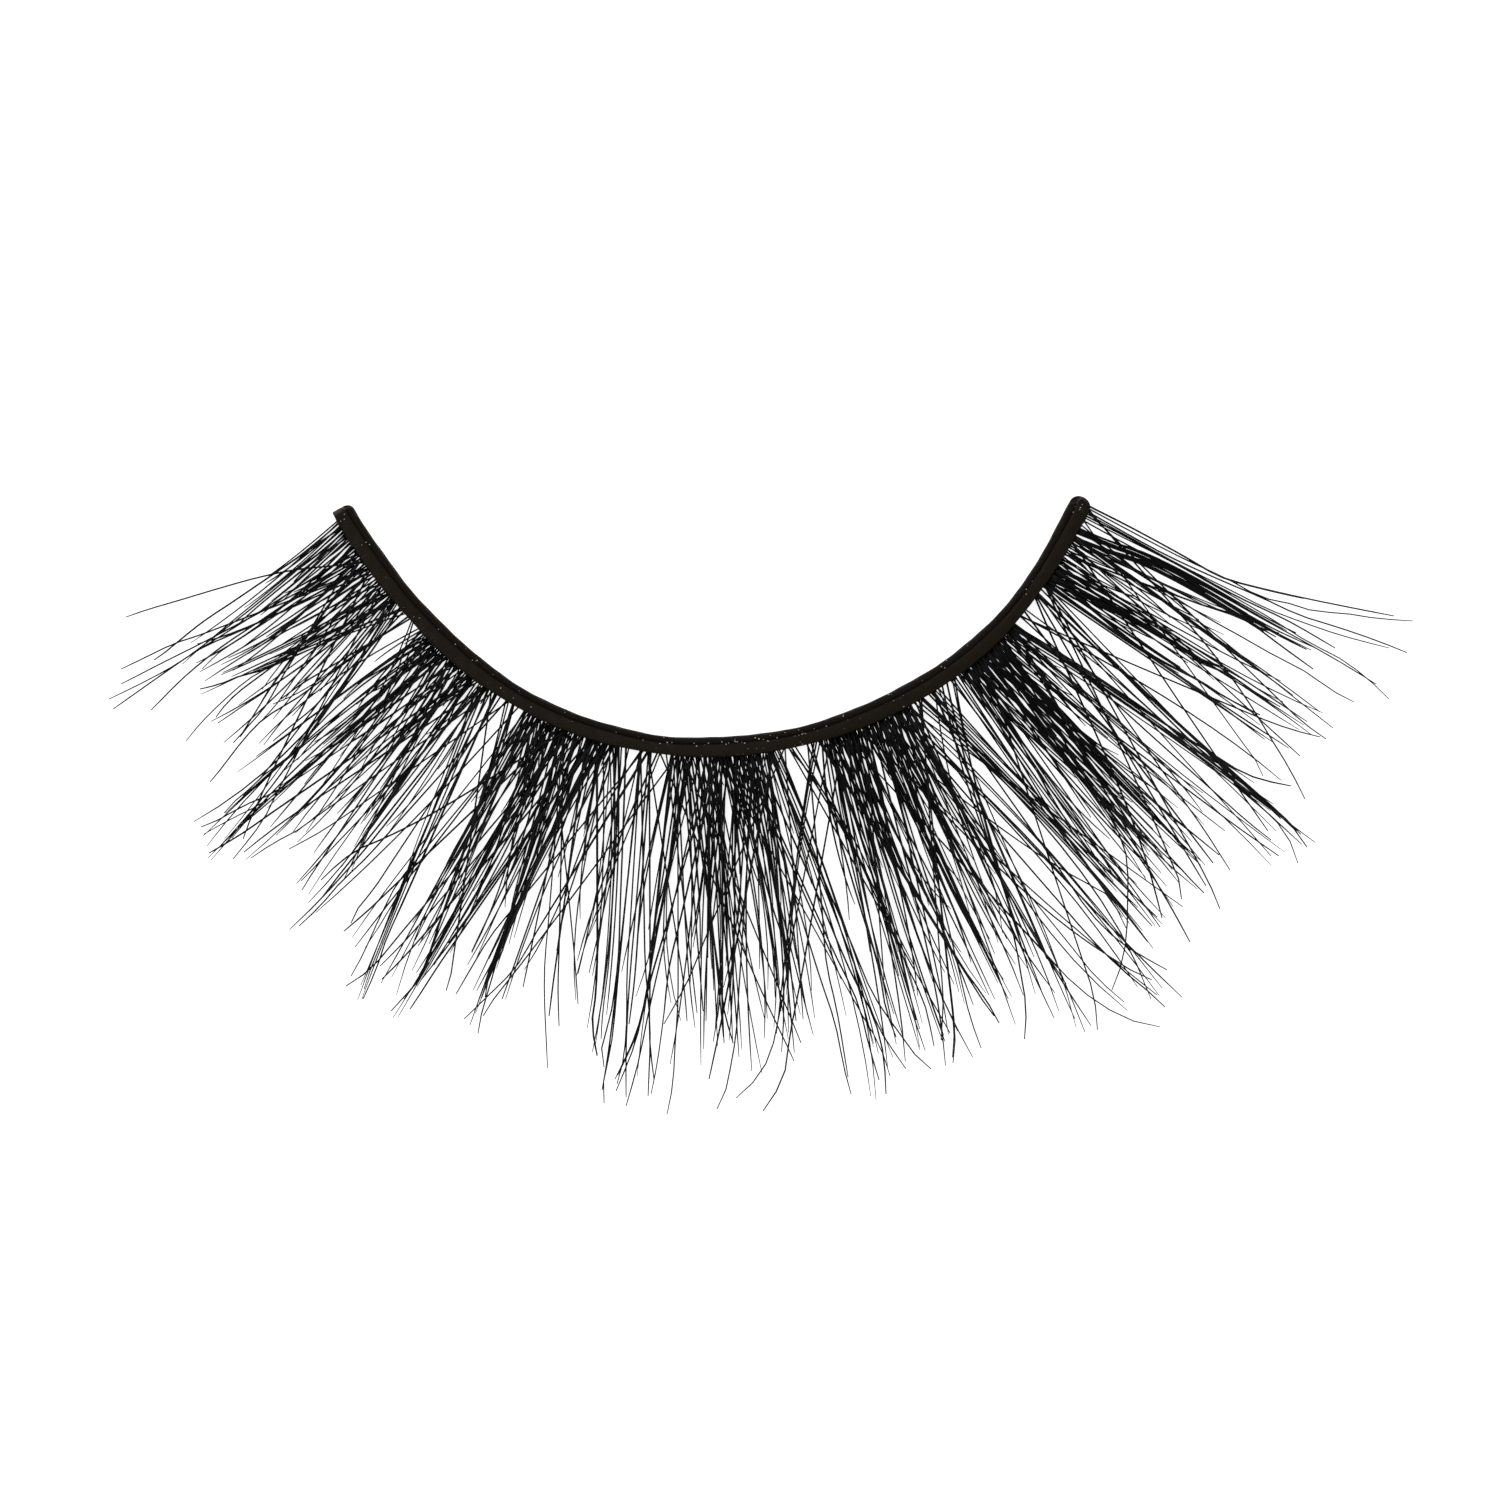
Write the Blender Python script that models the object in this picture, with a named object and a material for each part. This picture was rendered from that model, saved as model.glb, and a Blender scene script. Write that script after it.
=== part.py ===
"""False eyelash strip, lying flat: a curved glued band, a thread along its inner edge and two layers of lash locks.

Seen from above, +X runs along the strip, the lashes point to -Y and curl up to +Z.
The origin is on the band's underside, in the middle of its length.
"""

from collections import namedtuple

import bpy
import numpy as np

MM = 0.001

# The band's inner edge as a chain of arcs from the left end to the right end.
Arc = namedtuple("Arc", "length_mm turn_deg")
EDGE_ARCS = (
    Arc(5.9, 15.6),
    Arc(10.9, 46.6),
    Arc(8.2, 31.0),
    Arc(4.5, 21.3),
    Arc(3.9, 9.5),
)
EDGE_START_MM = (-13.53, 8.91)
EDGE_START_DEG = -60.2
EDGE_STEP_MM = 0.01
EDGE_RUN_OUT_MM = 4.0

# Cross sections. Distances out from the inner edge are called r, heights above the underside z.
BAND_WIDTH = 0.70 * MM
BAND_HEIGHT = 0.42 * MM
LEDGE_WIDTH = 0.28 * MM
LEDGE_HEIGHT = 0.16 * MM
BAND_CHAMFER = 0.04 * MM
BAND_SECTION_STEP_MM = 0.6
LEFT_END_ROUNDING_MM = 0.10
RIGHT_END_ROUNDING_MM = 0.34
END_SECTIONS = 5
BAND_END_REACH = 0.92     # how far round its quarter circle a rounded end goes
THREAD_RADIUS = 0.12 * MM
THREAD_SIDES = 8
THREAD_INSET_MM = 0.12
THREAD_END_REACH = 0.95
SEAT_GAP = 0.02 * MM

# Root strips of the two lash layers, one above the other along the band's outer face.
ROOT_GAP = 0.03 * MM
ROOT_WIDTH = 0.22 * MM
UNDER_THICKNESS = 0.22 * MM
LAYER_GAP = 0.05 * MM
LONG_THICKNESS = 0.18 * MM
ROOT_END_INSET_MM = 0.15

# The lashes lie along the surface at first, then curl up on an arc.
BELLY_MM = 4.0
CURL_RADIUS_MM = 14.0

# Locks taper from root to tip.
LOCK_SECTIONS = 8
LOCK_TOP_SHARE = 0.45
LOCK_TIP_WIDTH = 0.07 * MM
LOCK_TIP_THICKNESS = 0.05 * MM
LOCK_ROOT_DEPTH = 0.12 * MM
LOCK_TAPER = 0.85
LOCK_SINK_STEP = 0.012 * MM
LOCK_SINK_STEPS = 5

# Tufts of short lashes. Stations are along the inner edge from its left end, reach is out from it.
# fan is how far the tips spread against the roots, and dip how much shorter every other lock is.
Tuft = namedtuple("Tuft", "from_mm to_mm locks reach_mm fan dip_mm")
TUFTS = (
    Tuft(0.55, 1.35, 2, 9.6, 1.10, 1.2),
    Tuft(1.55, 3.65, 5, 7.4, 1.00, 1.5),
    Tuft(5.25, 8.15, 7, 8.6, 0.92, 1.2),
    Tuft(9.90, 13.20, 8, 9.6, 0.94, 1.0),
    Tuft(15.20, 18.50, 8, 10.2, 0.92, 1.1),
    Tuft(20.50, 23.60, 8, 11.0, 0.94, 1.2),
    Tuft(25.80, 28.20, 6, 11.4, 0.92, 1.2),
    Tuft(30.10, 32.00, 5, 11.8, 0.90, 1.0),
    Tuft(32.40, 33.10, 2, 11.8, 1.10, 1.4),
)
TUFT_LOCK_WIDTH = 0.95 * MM
TUFT_LOCK_BOW = 0.0

# Long lashes, one row for each spike, from its root station to the station that its tip points at.
Spike = namedtuple("Spike", "root_mm tip_mm reach_mm width_mm bow_mm")
SPIKES = (
    Spike(0.80, 1.16, 11.1, 0.55, 0.00),
    Spike(1.55, 1.82, 10.3, 0.35, 0.10),
    Spike(2.60, 3.05, 9.8, 0.40, 0.10),
    Spike(3.25, 4.40, 10.2, 0.45, 0.20),
    Spike(4.00, 2.10, 8.4, 0.30, -0.10),
    Spike(4.10, 5.75, 11.8, 0.60, 0.20),
    Spike(4.65, 6.00, 9.4, 0.30, 0.10),
    Spike(4.95, 4.00, 7.8, 0.30, -0.05),
    Spike(6.70, 5.75, 10.9, 0.45, -0.20),
    Spike(7.45, 8.00, 11.6, 0.45, 0.10),
    Spike(8.45, 9.60, 12.7, 0.60, 0.15),
    Spike(9.20, 10.30, 10.4, 0.30, 0.10),
    Spike(9.45, 8.10, 10.8, 0.30, -0.10),
    Spike(10.20, 8.80, 11.2, 0.30, -0.10),
    Spike(11.00, 10.35, 12.6, 0.60, -0.15),
    Spike(12.20, 13.30, 12.6, 0.40, 0.15),
    Spike(12.80, 11.60, 12.0, 0.50, -0.20),
    Spike(13.10, 14.45, 13.4, 0.60, 0.20),
    Spike(14.20, 14.90, 13.1, 0.55, 0.10),
    Spike(14.85, 13.75, 10.2, 0.30, -0.10),
    Spike(15.80, 15.35, 13.3, 0.50, -0.10),
    Spike(17.10, 16.60, 13.6, 0.40, -0.10),
    Spike(18.30, 19.75, 13.7, 0.60, 0.15),
    Spike(19.15, 20.90, 9.6, 0.30, 0.10),
    Spike(19.25, 19.00, 13.4, 0.35, 0.00),
    Spike(19.60, 20.50, 13.3, 0.40, 0.20),
    Spike(20.25, 17.20, 13.5, 0.35, 0.45),
    Spike(21.30, 22.20, 12.5, 0.40, 0.15),
    Spike(21.80, 21.00, 13.4, 0.45, -0.15),
    Spike(23.50, 23.85, 14.1, 0.55, 0.05),
    Spike(23.90, 25.05, 15.3, 0.40, 0.10),
    Spike(24.30, 25.35, 14.8, 0.45, 0.10),
    Spike(24.95, 25.75, 13.8, 0.40, 0.10),
    Spike(25.25, 22.50, 13.4, 0.40, -0.10),
    Spike(26.55, 26.20, 13.4, 0.45, -0.05),
    Spike(27.50, 27.00, 13.6, 0.45, -0.10),
    Spike(27.80, 28.35, 13.4, 0.50, 0.05),
    Spike(28.50, 28.80, 14.1, 0.50, 0.05),
    Spike(28.70, 30.30, 11.5, 0.30, 0.10),
    Spike(29.80, 30.65, 12.4, 0.40, 0.10),
    Spike(30.10, 28.65, 10.2, 0.30, -0.10),
    Spike(30.40, 29.35, 12.9, 0.40, -0.15),
    Spike(31.70, 31.50, 12.5, 0.45, 0.00),
    Spike(32.40, 32.05, 13.6, 0.50, -0.15),
    Spike(32.80, 33.45, 13.4, 0.40, 0.10),
)

Finish = namedtuple("Finish", "name colour roughness")
BAND_FINISH = Finish("glued_band", (0.020, 0.016, 0.013), 0.45)
THREAD_FINISH = Finish("cotton_thread", (0.010, 0.009, 0.008), 0.70)
UNDER_FINISH = Finish("short_lash_fibre", (0.008, 0.008, 0.009), 0.35)
LONG_FINISH = Finish("long_lash_fibre", (0.006, 0.006, 0.008), 0.35)

BAND_LENGTH_MM = sum(arc.length_mm for arc in EDGE_ARCS)


def clear_scene():
    for item in list(bpy.data.objects):
        bpy.data.objects.remove(item, do_unlink=True)


def edge_table():
    """Stations along the inner edge with their places and headings, in mm and radians."""
    stations = np.arange(-EDGE_RUN_OUT_MM, BAND_LENGTH_MM + EDGE_RUN_OUT_MM, EDGE_STEP_MM)
    arc_ends = np.concatenate([[0.0], np.cumsum([arc.length_mm for arc in EDGE_ARCS])])
    turns = np.concatenate([[0.0], np.cumsum([arc.turn_deg for arc in EDGE_ARCS])])
    headings = np.radians(EDGE_START_DEG + np.interp(stations, arc_ends, turns))
    middles = (headings[1:] + headings[:-1]) / 2
    steps = np.stack([np.cos(middles), np.sin(middles)], axis=1) * EDGE_STEP_MM
    places = np.concatenate([np.zeros((1, 2)), np.cumsum(steps, axis=0)])
    start = np.stack([np.interp(0.0, stations, places[:, axis]) for axis in (0, 1)])
    return stations, places - start + np.array(EDGE_START_MM), headings


STATIONS, EDGE_PLACES, EDGE_HEADINGS = edge_table()


def out_from_edge(station_mm, r):
    """The point (x, y) in metres that lies r metres straight out from the edge at a station."""
    station_mm = np.asarray(station_mm, float)
    heading = np.interp(station_mm, STATIONS, EDGE_HEADINGS)
    x = np.interp(station_mm, STATIONS, EDGE_PLACES[:, 0]) * MM + r * np.sin(heading)
    y = np.interp(station_mm, STATIONS, EDGE_PLACES[:, 1]) * MM - r * np.cos(heading)
    return np.stack([x, y], axis=-1)


def rise(points):
    """Height of the lash sheet over points (x, y): flat over the belly, then an arc."""
    inside = (STATIONS >= 0.0) & (STATIONS <= BAND_LENGTH_MM)
    edge = EDGE_PLACES[inside] * MM
    r = np.sqrt(((points[:, None, :] - edge[None, :, :]) ** 2).sum(axis=2)).min(axis=1)
    run = np.clip(r - BELLY_MM * MM, 0.0, None)
    radius = CURL_RADIUS_MM * MM
    return radius - np.sqrt(radius**2 - run**2)


def mesh_object(name, points, faces):
    mesh = bpy.data.meshes.new(name)
    mesh.from_pydata([tuple(point) for point in points], [], faces)
    mesh.validate()
    mesh.update()
    item = bpy.data.objects.new(name, mesh)
    bpy.context.scene.collection.objects.link(item)
    return item


def skin(rings):
    """Faces of a closed tube through rings of equal size, each ring in order round the tube."""
    count, sides = rings.shape[:2]
    faces = []
    for ring in range(count - 1):
        for side in range(sides):
            after = (side + 1) % sides
            low = ring * sides
            high = low + sides
            faces.append((low + side, low + after, high + after, high + side))
    faces.append(tuple(reversed(range(sides))))
    faces.append(tuple((count - 1) * sides + side for side in range(sides)))
    return rings.reshape(-1, 3), faces


def sweep_along_edge(stations_mm, profile, squeeze=None):
    """Rings of a profile of (r, z) carried along the edge. squeeze narrows each ring about its middle."""
    middle = (profile.min(axis=0) + profile.max(axis=0)) / 2
    rings = []
    for index, station in enumerate(stations_mm):
        scale = 1.0 if squeeze is None else squeeze[index]
        section = middle + (profile - middle) * scale
        places = out_from_edge(np.full(len(section), station), section[:, 0])
        rings.append(np.column_stack([places, section[:, 1]]))
    return np.array(rings)


def end_rounding(stations_mm, start_mm, end_mm, start_radius_mm, end_radius_mm):
    """How far each section keeps its full size, from a quarter circle at each end."""
    near_start = np.clip(1.0 - (stations_mm - start_mm) / start_radius_mm, 0.0, 1.0)
    near_end = np.clip(1.0 - (end_mm - stations_mm) / end_radius_mm, 0.0, 1.0)
    depth = np.maximum(near_start * start_radius_mm, near_end * end_radius_mm)
    radius = np.where(near_start > near_end, start_radius_mm, end_radius_mm)
    fall = radius - np.sqrt(radius**2 - (BAND_END_REACH * depth) ** 2)
    half_width_mm = BAND_WIDTH / MM / 2
    return 1.0 - fall / half_width_mm


def rounded_stations(start_mm, end_mm, start_radius_mm, end_radius_mm):
    """Even stations with a few closer ones where the ends are rounded."""
    inner_start = start_mm + start_radius_mm
    inner_end = end_mm - end_radius_mm
    count = int(round((inner_end - inner_start) / BAND_SECTION_STEP_MM)) + 1
    turn = np.linspace(0.0, np.pi / 2, END_SECTIONS)[:-1]
    head = start_mm + start_radius_mm * (1.0 - np.cos(turn))
    tail = end_mm - end_radius_mm * (1.0 - np.cos(turn))
    return np.concatenate([head, np.linspace(inner_start, inner_end, count), tail[::-1]])


def make_band():
    c = BAND_CHAMFER
    profile = np.array(
        [
            (c, 0.0),
            (0.0, c),
            (0.0, LEDGE_HEIGHT - c),
            (c, LEDGE_HEIGHT),
            (LEDGE_WIDTH, LEDGE_HEIGHT),
            (LEDGE_WIDTH, BAND_HEIGHT - c),
            (LEDGE_WIDTH + c, BAND_HEIGHT),
            (BAND_WIDTH - c, BAND_HEIGHT),
            (BAND_WIDTH, BAND_HEIGHT - c),
            (BAND_WIDTH, c),
            (BAND_WIDTH - c, 0.0),
        ]
    )
    ends = (0.0, BAND_LENGTH_MM, LEFT_END_ROUNDING_MM, RIGHT_END_ROUNDING_MM)
    stations = rounded_stations(*ends)
    scale = end_rounding(stations, *ends)
    rings = sweep_along_edge(stations, profile)
    flat = sweep_along_edge(stations, profile, scale)
    rings[:, :, :2] = flat[:, :, :2]
    return mesh_object("band", *skin(rings))


def make_thread():
    turn = np.linspace(0.0, 2.0 * np.pi, THREAD_SIDES, endpoint=False)
    centre_r = LEDGE_WIDTH - SEAT_GAP - THREAD_RADIUS
    centre_z = LEDGE_HEIGHT + SEAT_GAP + THREAD_RADIUS
    profile = np.column_stack(
        [centre_r - THREAD_RADIUS * np.cos(turn), centre_z + THREAD_RADIUS * np.sin(turn)]
    )
    radius = THREAD_RADIUS / MM
    ends = (THREAD_INSET_MM, BAND_LENGTH_MM - THREAD_INSET_MM - RIGHT_END_ROUNDING_MM, radius, radius)
    stations = rounded_stations(*ends)
    depth = np.maximum(
        np.clip(ends[0] + radius - stations, 0.0, radius),
        np.clip(stations - ends[1] + radius, 0.0, radius),
    )
    scale = np.sqrt(radius**2 - (THREAD_END_REACH * depth) ** 2) / radius
    thread = mesh_object("edge_thread", *skin(sweep_along_edge(stations, profile, scale)))
    thread.data.shade_smooth()
    return thread


def lock_rings(root_mm, tip_mm, reach, width, bow, lift, thickness):
    """Rings of a lock: a trapezium section that narrows along a line from root to tip.

    The line is bowed by a parabola that is bow high in the middle.
    """
    along = np.linspace(0.0, 1.0, LOCK_SECTIONS)
    root = out_from_edge(root_mm, BAND_WIDTH + ROOT_GAP + ROOT_WIDTH - LOCK_ROOT_DEPTH)
    tip = out_from_edge(tip_mm, reach)
    chord = tip - root
    across = np.array([-chord[1], chord[0]]) / np.linalg.norm(chord)
    bulge = bow * (1.0 - (2.0 * along - 1.0) ** 2)
    middle = root + along[:, None] * chord + bulge[:, None] * across
    flow = np.gradient(middle, axis=0)
    flow /= np.linalg.norm(flow, axis=1)[:, None]
    side = np.column_stack([-flow[:, 1], flow[:, 0]])
    keep = (1.0 - along) ** LOCK_TAPER
    half = (LOCK_TIP_WIDTH + (width - LOCK_TIP_WIDTH) * keep)[:, None] / 2
    height = LOCK_TIP_THICKNESS + (thickness - LOCK_TIP_THICKNESS) * (1.0 - along)
    low = rise(middle) + lift
    corners = (
        (middle + side * half, low),
        (middle - side * half, low),
        (middle - side * half * LOCK_TOP_SHARE, low + height),
        (middle + side * half * LOCK_TOP_SHARE, low + height),
    )
    return np.stack([np.column_stack([place, z]) for place, z in corners], axis=1)


def make_layer(name, floor, thickness, locks):
    """A root strip with its locks joined to it. locks holds the values for each lock's rings."""
    low_r = BAND_WIDTH + ROOT_GAP
    profile = np.array(
        [
            (low_r, floor),
            (low_r, floor + thickness),
            (low_r + ROOT_WIDTH, floor + thickness),
            (low_r + ROOT_WIDTH, floor),
        ]
    )
    stations = np.arange(ROOT_END_INSET_MM, BAND_LENGTH_MM - ROOT_END_INSET_MM, BAND_SECTION_STEP_MM)
    strip = mesh_object(name, *skin(sweep_along_edge(stations, profile)))
    group = bpy.data.collections.new(name + "_locks")
    bpy.context.scene.collection.children.link(group)
    for index, (root_mm, tip_mm, reach, width, bow) in enumerate(locks):
        sink = LOCK_SINK_STEP * (1 + index % LOCK_SINK_STEPS)
        rings = lock_rings(root_mm, tip_mm, reach, width, bow, floor, thickness - sink)
        lock = mesh_object(f"{name}_lock_{index:02d}", *skin(rings))
        bpy.context.scene.collection.objects.unlink(lock)
        group.objects.link(lock)
        lock.hide_render = True
        lock.display_type = "WIRE"
    union = strip.modifiers.new("join_locks", "BOOLEAN")
    union.operation = "UNION"
    union.solver = "EXACT"
    union.operand_type = "COLLECTION"
    union.collection = group
    return strip


def tuft_locks():
    for tuft in TUFTS:
        middle = (tuft.from_mm + tuft.to_mm) / 2
        roots = np.linspace(tuft.from_mm, tuft.to_mm, tuft.locks)
        for index, root in enumerate(roots):
            tip = middle + (root - middle) * tuft.fan
            reach = (tuft.reach_mm - tuft.dip_mm * (index % 2)) * MM
            yield root, tip, reach, TUFT_LOCK_WIDTH, TUFT_LOCK_BOW


def spike_locks():
    for spike in SPIKES:
        yield spike.root_mm, spike.tip_mm, spike.reach_mm * MM, spike.width_mm * MM, spike.bow_mm * MM


def give_material(item, finish):
    material = bpy.data.materials.new(finish.name)
    material.use_nodes = True
    shader = material.node_tree.nodes["Principled BSDF"]
    shader.inputs["Base Color"].default_value = (*finish.colour, 1.0)
    shader.inputs["Roughness"].default_value = finish.roughness
    shader.inputs["Metallic"].default_value = 0.0
    item.data.materials.append(material)


clear_scene()
band = make_band()
thread = make_thread()
under_lashes = make_layer("under_lashes", 0.0, UNDER_THICKNESS, tuft_locks())
long_lashes = make_layer("long_lashes", UNDER_THICKNESS + LAYER_GAP, LONG_THICKNESS, spike_locks())

give_material(band, BAND_FINISH)
give_material(thread, THREAD_FINISH)
give_material(under_lashes, UNDER_FINISH)
give_material(long_lashes, LONG_FINISH)
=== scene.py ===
import bpy
import numpy as np
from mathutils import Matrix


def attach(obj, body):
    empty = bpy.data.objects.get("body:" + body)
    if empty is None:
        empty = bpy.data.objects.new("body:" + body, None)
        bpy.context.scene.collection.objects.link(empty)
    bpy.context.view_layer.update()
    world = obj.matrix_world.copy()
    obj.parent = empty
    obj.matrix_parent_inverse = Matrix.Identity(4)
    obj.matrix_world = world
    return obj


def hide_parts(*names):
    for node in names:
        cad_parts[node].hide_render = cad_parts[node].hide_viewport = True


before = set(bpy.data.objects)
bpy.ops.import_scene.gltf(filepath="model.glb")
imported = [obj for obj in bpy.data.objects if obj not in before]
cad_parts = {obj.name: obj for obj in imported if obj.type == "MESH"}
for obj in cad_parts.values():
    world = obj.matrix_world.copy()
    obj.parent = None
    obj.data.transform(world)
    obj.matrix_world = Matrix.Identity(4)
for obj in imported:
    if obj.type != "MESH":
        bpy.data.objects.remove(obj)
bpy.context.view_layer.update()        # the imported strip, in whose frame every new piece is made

mm = 0.001               # numbers below are millimetres, and Blender's are metres
mapSpan = 10.0           # length along the strip that one unit of a texture map covers
print("frame loaded:", ", ".join(sorted(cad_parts)))


# The camera's view. Places read off the photo are kept in its pixels, and this carries them over.
view = {
    "centre": (1.05, -0.07),
    "frameWidth": 54.5,
    "focus": 0.5,              # height at which the frame has that width
    "lens": 300.0,
    "sensor": 36.0,
    "photoSize": 1500,         # pixels across the photo
    "countFrom": 12,           # pixels from the band's cut end to where readings along its edge start
    "alongGrid": 0.05,         # millimetres that a reading along the edge is good to, and one out from it
    "outGrid": 0.1,
}
photoPixel = view["frameWidth"] / view["photoSize"]
cameraHeight = view["frameWidth"] * view["lens"] / view["sensor"] + view["focus"]

# The band's inner edge, as a chain of arcs from its left end to its right end.
edgeShape = {
    "start": (-13.53, 8.91),
    "startHeading": -60.2,                      # degrees from +X
    "arcLengths": (5.9, 10.9, 8.2, 4.5, 3.9),
    "arcTurns": (15.6, 46.6, 31.0, 21.3, 9.5),  # degrees that each arc turns to the left
    "step": 0.01,
    "runOut": 4.0,                              # straight stretch past either end
    "places": 240,                              # along it, where the nearest one is looked for
}
bandLength = sum(edgeShape["arcLengths"])


def edgePath(shape):
    # The heading turns evenly along each arc, and a place is the running sum of short steps along the heading.
    stations = np.arange(-shape["runOut"], bandLength + shape["runOut"], shape["step"])
    arcEnds = np.concatenate([[0.0], np.cumsum(shape["arcLengths"])])
    turned = np.concatenate([[0.0], np.cumsum(shape["arcTurns"])])
    headings = np.radians(shape["startHeading"] + np.interp(stations, arcEnds, turned))
    middles = (headings[1:] + headings[:-1]) / 2
    steps = np.stack([np.cos(middles), np.sin(middles)], axis=1) * shape["step"]
    places = np.concatenate([np.zeros((1, 2)), np.cumsum(steps, axis=0)])
    start = [np.interp(0.0, stations, places[:, axis]) for axis in (0, 1)]
    return stations, places - start + np.array(shape["start"]), headings


edgeStations, edgePlaces, edgeHeadings = edgePath(edgeShape)


def outFromEdge(station, r):
    # The point that lies r straight out from the inner edge at a station: the edge's place plus r times its normal.
    heading = np.interp(station, edgeStations, edgeHeadings)
    x = np.interp(station, edgeStations, edgePlaces[:, 0]) + r * np.sin(heading)
    y = np.interp(station, edgeStations, edgePlaces[:, 1]) - r * np.cos(heading)
    return np.stack([x, y], axis=-1)


lashCurl = {"belly": 4.0, "radius": 14.0, "steepest": 0.95}


def toGrid(pixels, grid):
    return np.round(pixels * photoPixel / grid) * grid


def nearestEdge(points):
    # Station and distance of the nearest of many even places along the inner edge.
    stations = np.linspace(0.0, bandLength, edgeShape["places"])
    distances = np.sqrt(((points[..., None, :] - outFromEdge(stations, 0.0)) ** 2).sum(axis=-1))
    return stations[distances.argmin(axis=-1)], distances.min(axis=-1)


def fromPhoto(readings, height):
    # The place at that height which the camera sees at a pixel of the photo: the pixel's way from the picture's
    # middle, in millimetres, drawn in by the share of the camera's height that the place is above the focus.
    away = (np.array(readings) - view["photoSize"] / 2) * (photoPixel, -photoPixel)
    closer = (cameraHeight - height) / (cameraHeight - view["focus"])
    return view["centre"] + away * np.asarray(closer)[..., None]


def riseOver(points):
    # Height of the lash sheet: none up to the belly's distance from the edge, then an arc of the curl's radius.
    run = np.clip(nearestEdge(points)[1] - lashCurl["belly"], 0.0, lashCurl["steepest"] * lashCurl["radius"])
    return lashCurl["radius"] - np.sqrt(lashCurl["radius"] ** 2 - run ** 2)


def fillMesh(name, points, faceSets, marks, uv=None):
    # Puts whole arrays of points (mm) and faces into a mesh. marks holds one number for each point, by name.
    corners = np.concatenate([faces.ravel() for faces in faceSets])
    sizes = np.concatenate([np.full(len(faces), faces.shape[1]) for faces in faceSets])
    mesh = bpy.data.meshes.new(name)
    mesh.vertices.add(len(points))
    mesh.vertices.foreach_set("co", (points * mm).astype(np.float32).ravel())
    mesh.loops.add(len(corners))
    mesh.loops.foreach_set("vertex_index", corners.astype(np.int32))
    mesh.polygons.add(len(sizes))
    mesh.polygons.foreach_set("loop_start", (np.cumsum(sizes) - sizes).astype(np.int32))
    mesh.update(calc_edges=True)
    for label, values in marks.items():
        mark = mesh.attributes.new(label, "FLOAT", "POINT")
        mark.data.foreach_set("value", values.astype(np.float32).ravel())
    if uv is not None:
        layer = mesh.uv_layers.new(name=name + "Map")
        layer.data.foreach_set("uv", uv[corners].astype(np.float32).ravel())
    mesh.validate()
    mesh.shade_smooth()
    piece = bpy.data.objects.new(name, mesh)
    bpy.context.scene.collection.objects.link(piece)
    return piece


def tubeFaces(index):
    # index[strand, section, side] numbers the points. Four-cornered faces join the sections. Both ends are closed.
    low, high = index[:, :-1], index[:, 1:]
    nextLow, nextHigh = np.roll(low, -1, axis=2), np.roll(high, -1, axis=2)
    walls = np.stack([low, nextLow, nextHigh, high], axis=-1).reshape(-1, 4)
    return [walls, index[:, 0, ::-1], index[:, -1]]


def rampUp(past, width):
    # 0 before a place and 1 from width past it on, straight between.
    return np.clip(past / width, 0, 1)


def waves(along, across, pitches, leans, heights, seed):
    # A sum of sine waves: each has a pitch along the strip, a lean across it, a height and a random start.
    starts = np.random.default_rng(seed).uniform(0.0, 2 * np.pi, len(pitches))
    total = np.zeros(np.broadcast(along, across).shape)
    for pitch, lean, height, start in zip(pitches, leans, heights, starts):
        total = total + height * np.sin(2 * np.pi * (along + lean * across) / pitch + start)
    return total


seeds = {
    "ripple": 11, "wobble": 12, "scallop": 13, "inner": 14, "filmAndHighlight": 15, "thread": 21, "crumbsAndGlints": 31,
    "short": 41, "long": 51, "cross": 61, "strays": 71,
}

# Where hairs are rooted close together, and where only a few are.
tuftZones = {
    "from": np.array([0.3, 1.5, 5.2, 9.9, 15.2, 20.5, 25.8, 30.1, 32.1]),
    "to": np.array([1.4, 3.8, 8.2, 13.3, 18.6, 23.7, 28.2, 32.0, 33.2]),
    "fade": 0.35,
}


def tuftShare(station):
    # 1 inside a tuft's stretch of the band and 0 between tufts, with soft steps at its ends.
    rising = np.clip((station[..., None] - tuftZones["from"]) / tuftZones["fade"] + 0.5, 0, 1)
    falling = np.clip((tuftZones["to"] - station[..., None]) / tuftZones["fade"] + 0.5, 0, 1)
    return (rising * falling).max(axis=-1)


def addNode(tree, kind, place, **settings):
    node = tree.nodes.new(kind)
    node.location = place
    for key, value in settings.items():
        setattr(node, key, value)
    return node


def joinUp(tree, *pairs):
    for source, target in pairs:
        tree.links.new(source, target)


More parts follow.
